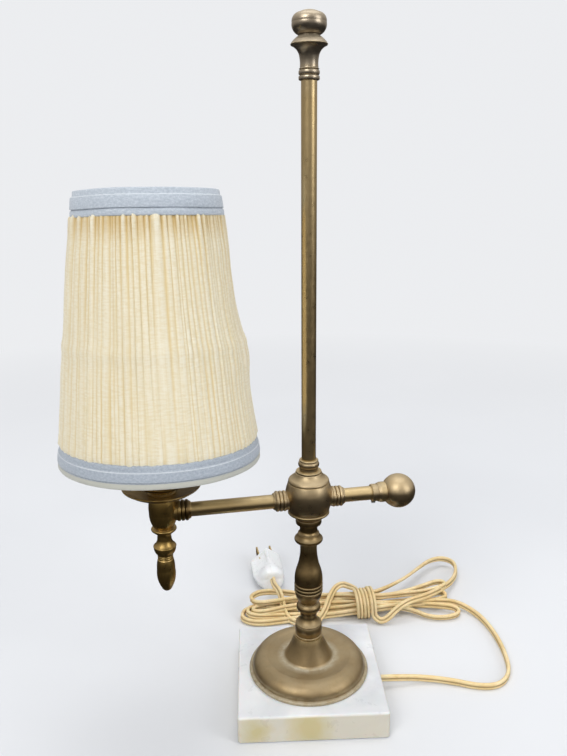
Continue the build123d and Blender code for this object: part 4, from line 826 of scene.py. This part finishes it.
# The bulge at the right, and the line of the frame's middle ring: height, spread and depth.
BULGE = (66.0, 13.0, 2.2)
BULGE_ANGLE = -0.15
BULGE_WIDTH = 0.6
RING_LINE = (75.0, 3.0, 0.6)
HEM_RISE_LEFT = 1.15
HEM_RISE_FRONT = 1.0


def cone_radius(v):
    """Radius of the shade at a share v of its slant height, from the bottom."""
    return SHADE_BOTTOM_R + (SHADE_TOP_R - SHADE_BOTTOM_R) * v


def smooth(low, high, value):
    """Eases from 0 at low to 1 at high."""
    t = min(max((value - low) / (high - low), 0.0), 1.0)
    return t * t * (3 - 2 * t)


def along_side(side, height):
    """The stand-off at a height up one side, eased from point to point."""
    for (low, a), (high, b) in zip(side, side[1:]):
        if height <= high:
            return a + (b - a) * smooth(low, high, height)
    return side[-1][1]


def swell(height, middle, spread, depth):
    """A soft bump round a middle."""
    return depth * math.exp(-((height - middle) / spread) ** 2)


def dents(angle, v):
    """How far the fabric stands off its cone, in metres."""
    height = v * SHADE_SLANT / MM
    rightward = 0.5 + 0.5 * math.cos(angle + SIDE_TURN)
    right, left = along_side(RIGHT_SIDE, height), along_side(LEFT_SIDE, height)
    off_bulge = math.atan2(math.sin(angle), math.cos(angle)) - BULGE_ANGLE
    bulge = swell(off_bulge, 0.0, BULGE_WIDTH, 1.0) * swell(height, *BULGE)
    return (rightward * right + (1 - rightward) * left + bulge + swell(height, *RING_LINE)) * MM


def shade_point(angle, v, off, base=None):
    """A point of the shade that stands off its cone by off. Dents are read at v, or at base."""
    r = cone_radius(v) + dents(angle, v if base is None else base) + off
    # The hem isn't quite level: it is higher at the left and in front.
    hem = HEM_RISE_LEFT * (1 - math.cos(angle)) - HEM_RISE_FRONT * math.sin(angle)
    z = v * SHADE_SLANT - SHADE_BELOW + hem * (1 - v) * MM
    return SHADE @ Vector((r * math.cos(angle), r * math.sin(angle), z))


def noise_at(*place):
    """Smooth noise about 0, the same each run. A plain number in the place is a seed."""
    return noise.noise(Vector(place))


# ---- Pleated cloth ---------------------------------------------------------------------------
PLEATS = 92
PLEAT_STEPS = 10
CLOTH_ROWS = 66
CLOTH_WIDTH = 0.36
CLOTH_LOW = 6.0 * MM / SHADE_SLANT
CLOTH_HIGH = 1 - 7.0 * MM / SHADE_SLANT
TOP_TAPE_V = 1 - 14.6 * MM / SHADE_SLANT
BOTTOM_TAPE_V = 13.6 * MM / SHADE_SLANT
# Stretches as shares of the slant height: how a row eases into each tape, how far the gathers
# reach from them, the shadow under the top tape, and where pleats are marked and cloth creased.
TOP_HOLD = (TOP_TAPE_V - 0.008, TOP_TAPE_V + 0.012)
BOTTOM_HOLD = (BOTTOM_TAPE_V - 0.012, BOTTOM_TAPE_V + 0.008)
TOP_GATHER = 0.16
BOTTOM_GATHER = 0.10
BOTTOM_GATHER_SHARE = 0.35
SHADOW = (TOP_TAPE_V - 0.11, TOP_TAPE_V - 0.005)
MARKED = (TOP_TAPE_V - 0.5, TOP_TAPE_V)
CREASED = (0.30, 0.12)
# How far a pleat wanders sideways, as a share of the round.
DRIFT = 0.0024
# How far the cloth's relief stands out or lies back, in mm.
PLEAT_STAND = 1.15
GATHER_STAND = 0.22
CRINKLE_STAND = 0.12
CREASE_STAND = 0.45
BEHIND_CONE = 0.55
BEHIND_TAPE = 0.9
SHADOW_DEPTH = 1.8


def chance(x, y, z=0.0):
    """A repeatable value from 0 to 1 that depends only on its three numbers."""
    return min(max(noise_at(x, y, z) * 0.9 + 0.5, 0.0), 1.0)


def pleat_plan():
    """Each pleat's start and share of the round, how far it stands and which way it leans."""
    plan = []
    for i in range(PLEATS):
        size = 0.35 + 1.5 * chance(i * 1.73, 3.1) ** 1.5
        stand = 0.25 + 1.1 * chance(i * 2.31, 9.7, 4.0)
        lean = 0.35 + 0.9 * chance(i * 3.17, 1.3, 8.0)
        plan.append((size, stand, lean))
    total = sum(size for size, _, _ in plan)
    start = 0.0
    placed = []
    for size, stand, lean in plan:
        placed.append((start / total, size / total, stand, lean))
        start += size
    return placed


def gathering(v):
    """How tightly the cloth is drawn in at a height: most under the top tape."""
    top = max(1 - (TOP_TAPE_V - v) / TOP_GATHER, 0.0) ** 1.5
    bottom = max(1 - (v - BOTTOM_TAPE_V) / BOTTOM_GATHER, 0.0) ** 2
    return top + BOTTOM_GATHER_SHARE * bottom


def pleat_height(pleat, rise, v, ends):
    """How far a pleat stands out at a height, in mm."""
    start, size, stand, _ = pleat
    slack = 0.75 + 0.9 * noise_at(start * 90, v * 3.4, 1.0)
    deep = min(size * PLEATS, 1.3)
    drawn = 0.74 + 0.2 * v + 1.0 * min(ends, 1.0)
    return PLEAT_STAND * rise * stand * deep * drawn * slack


def small_creases(angle, v, ends):
    """Gathers, crinkles and the creases low on the shade, in mm."""
    gather = GATHER_STAND * (0.35 + ends) * noise_at(angle * 42, v * 5, 2.0)
    crinkle = CRINKLE_STAND * noise_at(angle * 26, v * 60, 4.0)
    crease = CREASE_STAND * smooth(*CREASED, v) * noise_at(angle * 7, v * 34, 11.0)
    return gather + crinkle + crease


def shade_cloth():
    """The gathered cloth, with marks for its material: crests of the pleats, and deep shadow."""
    plan = pleat_plan()
    vertices, uvs, crest, under = [], [], [], []
    for row in range(CLOTH_ROWS + 1):
        v = CLOTH_LOW + (CLOTH_HIGH - CLOTH_LOW) * row / CLOTH_ROWS
        held = max(smooth(*TOP_HOLD, v), 1 - smooth(*BOTTOM_HOLD, v))
        ends = gathering(v)
        shadow = smooth(*SHADOW, v)
        marked = 0.5 + 0.5 * smooth(*MARKED, v)
        for pleat in plan:
            start, size, _, lean = pleat
            drift = DRIFT * noise_at(start * 30, v * 1.7, 7.0)
            uneven = 0.5 + 1.3 * noise_at(start * 60, v * 1.9, 21.0)
            # How strongly the painted shade shows in this pleat's valley.
            valley_shade_share = min(max(0.9 * marked + 0.5 * uneven, 0.3), 1.0)
            for step in range(PLEAT_STEPS):
                t = step / PLEAT_STEPS
                angle = 2 * math.pi * (start + size * t + drift)
                rise = math.sin(math.pi * t ** lean) ** 0.8 if t else 0.0
                height = pleat_height(pleat, rise, v, ends)
                free = (height + small_creases(angle, v, ends)) * (1 - held)
                off = free - BEHIND_CONE - BEHIND_TAPE * held
                vertices.append(shade_point(angle, v, off * MM))
                uvs.append(((start + size * t) * CLOTH_WIDTH, v * SHADE_SLANT))
                valley = 1 - min(0.75 * rise + 0.35 * height, 1.0)
                crest.append(1 - valley * valley_shade_share)
                under.append(shadow * max(1 - height / SHADOW_DEPTH, 0.0))
    faces = ring_faces(CLOTH_ROWS + 1, PLEATS * PLEAT_STEPS)
    marks = {"crest": crest, "under": under}
    piece = new_mesh("pleated_shade", vertices, faces, "shade_cloth", uvs, marks)
    close_seam(piece, CLOTH_WIDTH)
    return piece


# ---- Tapes -----------------------------------------------------------------------------------
TAPE_COLUMNS = 240
TAPE_SWAY = 0.35
TAPE_LIFT = 0.4
AGED = 0.9
# How dark the painted shade in a fold is.
FOLD_SHADE_DEPTH = 0.8
# Profiles are (stand-off, height) along the tape's width, in mm. Rows are numbered along them.
TOP_TAPE = [
    (-2.0, -9.0), (-1.9, -3.0), (-1.6, -1.4), (-0.9, -0.8), (-0.1, -1.1), (0.1, -1.8), (0.2, -3.9),
    (0.4, -4.3), (0.9, -4.5), (1.1, -4.9), (1.1, -7.9), (1.1, -11.0), (0.9, -11.5), (0.3, -11.6),
    (0.0, -11.3), (0.1, -11.9), (0.6, -12.4), (0.8, -13.2), (0.7, -15.2), (0.3, -15.9),
    (-0.4, -15.6),
]
TOP_PIPING = 8
TOP_FOLD = 14
BOTTOM_TAPE = [
    (-0.5, 13.4), (0.2, 14.0), (0.6, 13.4), (0.6, 11.2), (0.5, 10.5), (0.9, 10.2), (1.2, 9.8),
    (1.1, 9.4), (1.2, 8.8), (1.3, 6.6), (1.3, 4.8), (1.1, 4.3), (0.6, 4.0), (0.2, 4.1), (0.4, 3.6),
    (0.7, 3.2), (0.7, 0.9), (0.2, 0.1), (-0.7, -0.1), (-1.5, 0.4), (-1.9, 2.0), (-2.0, 8.0),
]
BOTTOM_PIPING = 6
BOTTOM_FOLD = 13
BOTTOM_AGED_FROM = 15


def tape(name, profile, base_v, piping_row, fold_row, aged_from=None):
    """A folded tape round the shade, at a share base_v of its slant height."""
    vertices, uvs, aged, piping, fold_shade = [], [], [], [], []
    run = 0.0
    for j, (off, height) in enumerate(profile):
        if j:
            run += math.dist(profile[j], profile[j - 1]) * MM
        for column in range(TAPE_COLUMNS):
            angle = 2 * math.pi * column / TAPE_COLUMNS
            east, north = math.cos(angle), math.sin(angle)
            sway = TAPE_SWAY * noise_at(east * 2.2, north * 2.2, j * 0.35 + base_v)
            lift = TAPE_LIFT * noise_at(east * 1.6, north * 1.6, 5.0 + base_v)
            v = base_v + (height + lift) * MM / SHADE_SLANT
            vertices.append(shade_point(angle, v, (off + sway) * MM, base_v))
            uvs.append((angle * cone_radius(base_v), run))
            aged.append(AGED if aged_from is not None and j >= aged_from else 0.0)
            piping.append(1.0 if j == piping_row else 0.0)
            fold_shade.append(FOLD_SHADE_DEPTH if j == fold_row else 0.0)
    marks = {"aged": aged, "piping": piping, "fold_shade": fold_shade}
    faces = ring_faces(len(profile), TAPE_COLUMNS)
    piece = new_mesh(name, vertices, faces, "trim_tape", uvs, marks)
    close_seam(piece, 2 * math.pi * cone_radius(base_v))
    return piece


cloth = shade_cloth()
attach(cloth, "shade")
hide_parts("shade_fabric")

top_tape = tape("top_tape", TOP_TAPE, 1.0, TOP_PIPING, TOP_FOLD)
bottom_tape = tape(
    "bottom_tape", BOTTOM_TAPE, 0.0, BOTTOM_PIPING, BOTTOM_FOLD, BOTTOM_AGED_FROM,
)
for band, node, folded in (
    (top_tape, "top_trim", TOP_TAPE), (bottom_tape, "bottom_trim", BOTTOM_TAPE),
):
    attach(band, "shade")
    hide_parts(node)


# ---- Smooth shading on the turned parts ------------------------------------------------------
FLAT_NODES = {"marble_base", "base_nut", "pivot_nut", "plug_blades", "felt_pad"}
for name, piece in nodes.items():
    for polygon in piece.data.polygons:
        polygon.use_smooth = name not in FLAT_NODES


# ---- Floor, background and lights ------------------------------------------------------------
BACKDROP = (0.84, 0.85, 0.87, 1)
SKY = (0.92, 0.95, 1.0, 1)
SKY_STRENGTH = 0.50
FLOOR_HALF = 6.0
# What polished metal sees: a dark table, and a room that gets lighter with height.
TABLE = (0.035, 0.032, 0.03, 1)
ROOM_LOW = (0.34, 0.32, 0.30, 1)
ROOM_HIGH = (0.85, 0.80, 0.74, 1)
ROOM_HIGH_AT = 0.8


def add_floor():
    """Pale floor that fades into the backdrop, and that polished metal sees as a darker table."""
    mesh = bpy.data.meshes.new("floor")
    corners = ((-1, -1), (1, -1), (1, 1), (-1, 1))
    mesh.from_pydata([(x * FLOOR_HALF, y * FLOOR_HALF, 0) for x, y in corners], [], [(0, 1, 2, 3)])
    s = Shader("floor", Roughness=0.85)
    cloudy = s.ramp(s.noise(3.0, 2.0), (0.4, 0.0), (0.6, 1.0))
    s.colour(s.mix(cloudy, (0.72, 0.73, 0.75), (0.70, 0.71, 0.73)))
    backdrop = s.add("ShaderNodeEmission", Color=BACKDROP)
    table = s.add("ShaderNodeBsdfDiffuse", Color=TABLE)
    away = s.vector_math("LENGTH", s.place.outputs["Object"])
    fade = s.ramp(s.math("MULTIPLY", away, 0.5), (0.2, 0.0), (0.62, 1.0))
    seen = s.blend(fade, s.bsdf.outputs[0], backdrop.outputs[0])
    shiny = s.add("ShaderNodeLightPath").outputs["Is Glossy Ray"]
    s.surface(s.blend(shiny, seen, table.outputs[0]))
    mesh.materials.append(s.material)
    floor = bpy.data.objects.new("floor", mesh)
    scene.collection.objects.link(floor)


def add_world():
    """Even light, a pale backdrop for the camera, and a room that is dark below for the metal."""
    world = bpy.data.worlds.new("world")
    world.use_nodes = True
    tree = world.node_tree
    light = tree.nodes["Background"]
    light.inputs["Color"].default_value = SKY
    light.inputs["Strength"].default_value = SKY_STRENGTH
    seen = tree.nodes.new("ShaderNodeBackground")
    seen.inputs["Color"].default_value = BACKDROP
    room = tree.nodes.new("ShaderNodeBackground")
    place = tree.nodes.new("ShaderNodeTexCoord")
    split = tree.nodes.new("ShaderNodeSeparateXYZ")
    height = tree.nodes.new("ShaderNodeValToRGB")
    ends = ((0.0, ROOM_LOW), (ROOM_HIGH_AT, ROOM_HIGH))
    for element, (position, colour) in zip(height.color_ramp.elements, ends):
        element.position = position
        element.color = colour
    path = tree.nodes.new("ShaderNodeLightPath")
    shiny = tree.nodes.new("ShaderNodeMixShader")
    mix = tree.nodes.new("ShaderNodeMixShader")
    for start, end in (
        (place.outputs["Generated"], split.inputs[0]),
        (split.outputs["Z"], height.inputs[0]),
        (height.outputs[0], room.inputs["Color"]),
        (path.outputs["Is Glossy Ray"], shiny.inputs[0]),
        (light.outputs[0], shiny.inputs[1]),
        (room.outputs[0], shiny.inputs[2]),
        (path.outputs["Is Camera Ray"], mix.inputs[0]),
        (shiny.outputs[0], mix.inputs[1]),
        (seen.outputs[0], mix.inputs[2]),
        (mix.outputs[0], tree.nodes["World Output"].inputs["Surface"]),
    ):
        tree.links.new(start, end)
    scene.world = world


def add_light(name, place, target, size, power, tint=(1, 1, 1)):
    data = bpy.data.lights.new(name, "AREA")
    data.shape = "RECTANGLE"
    data.size, data.size_y = size
    data.energy = power
    data.color = tint
    light = bpy.data.objects.new(name, data)
    light.location = place
    aim = Vector(target) - Vector(place)
    light.rotation_euler = aim.to_track_quat("-Z", "Y").to_euler()
    scene.collection.objects.link(light)


add_floor()
add_world()
add_light("key", (-1.2, -1.7, 2.0), (0, 0, 0.2), (1.4, 1.4), 38, (1.0, 0.985, 0.96))
add_light("fill", (1.9, -1.2, 1.3), (0, 0, 0.2), (1.2, 1.6), 19)
add_light("top", (0.1, 0.3, 2.2), (0, 0, 0.1), (1.8, 1.4), 20)
scene.view_settings.view_transform = "Standard"
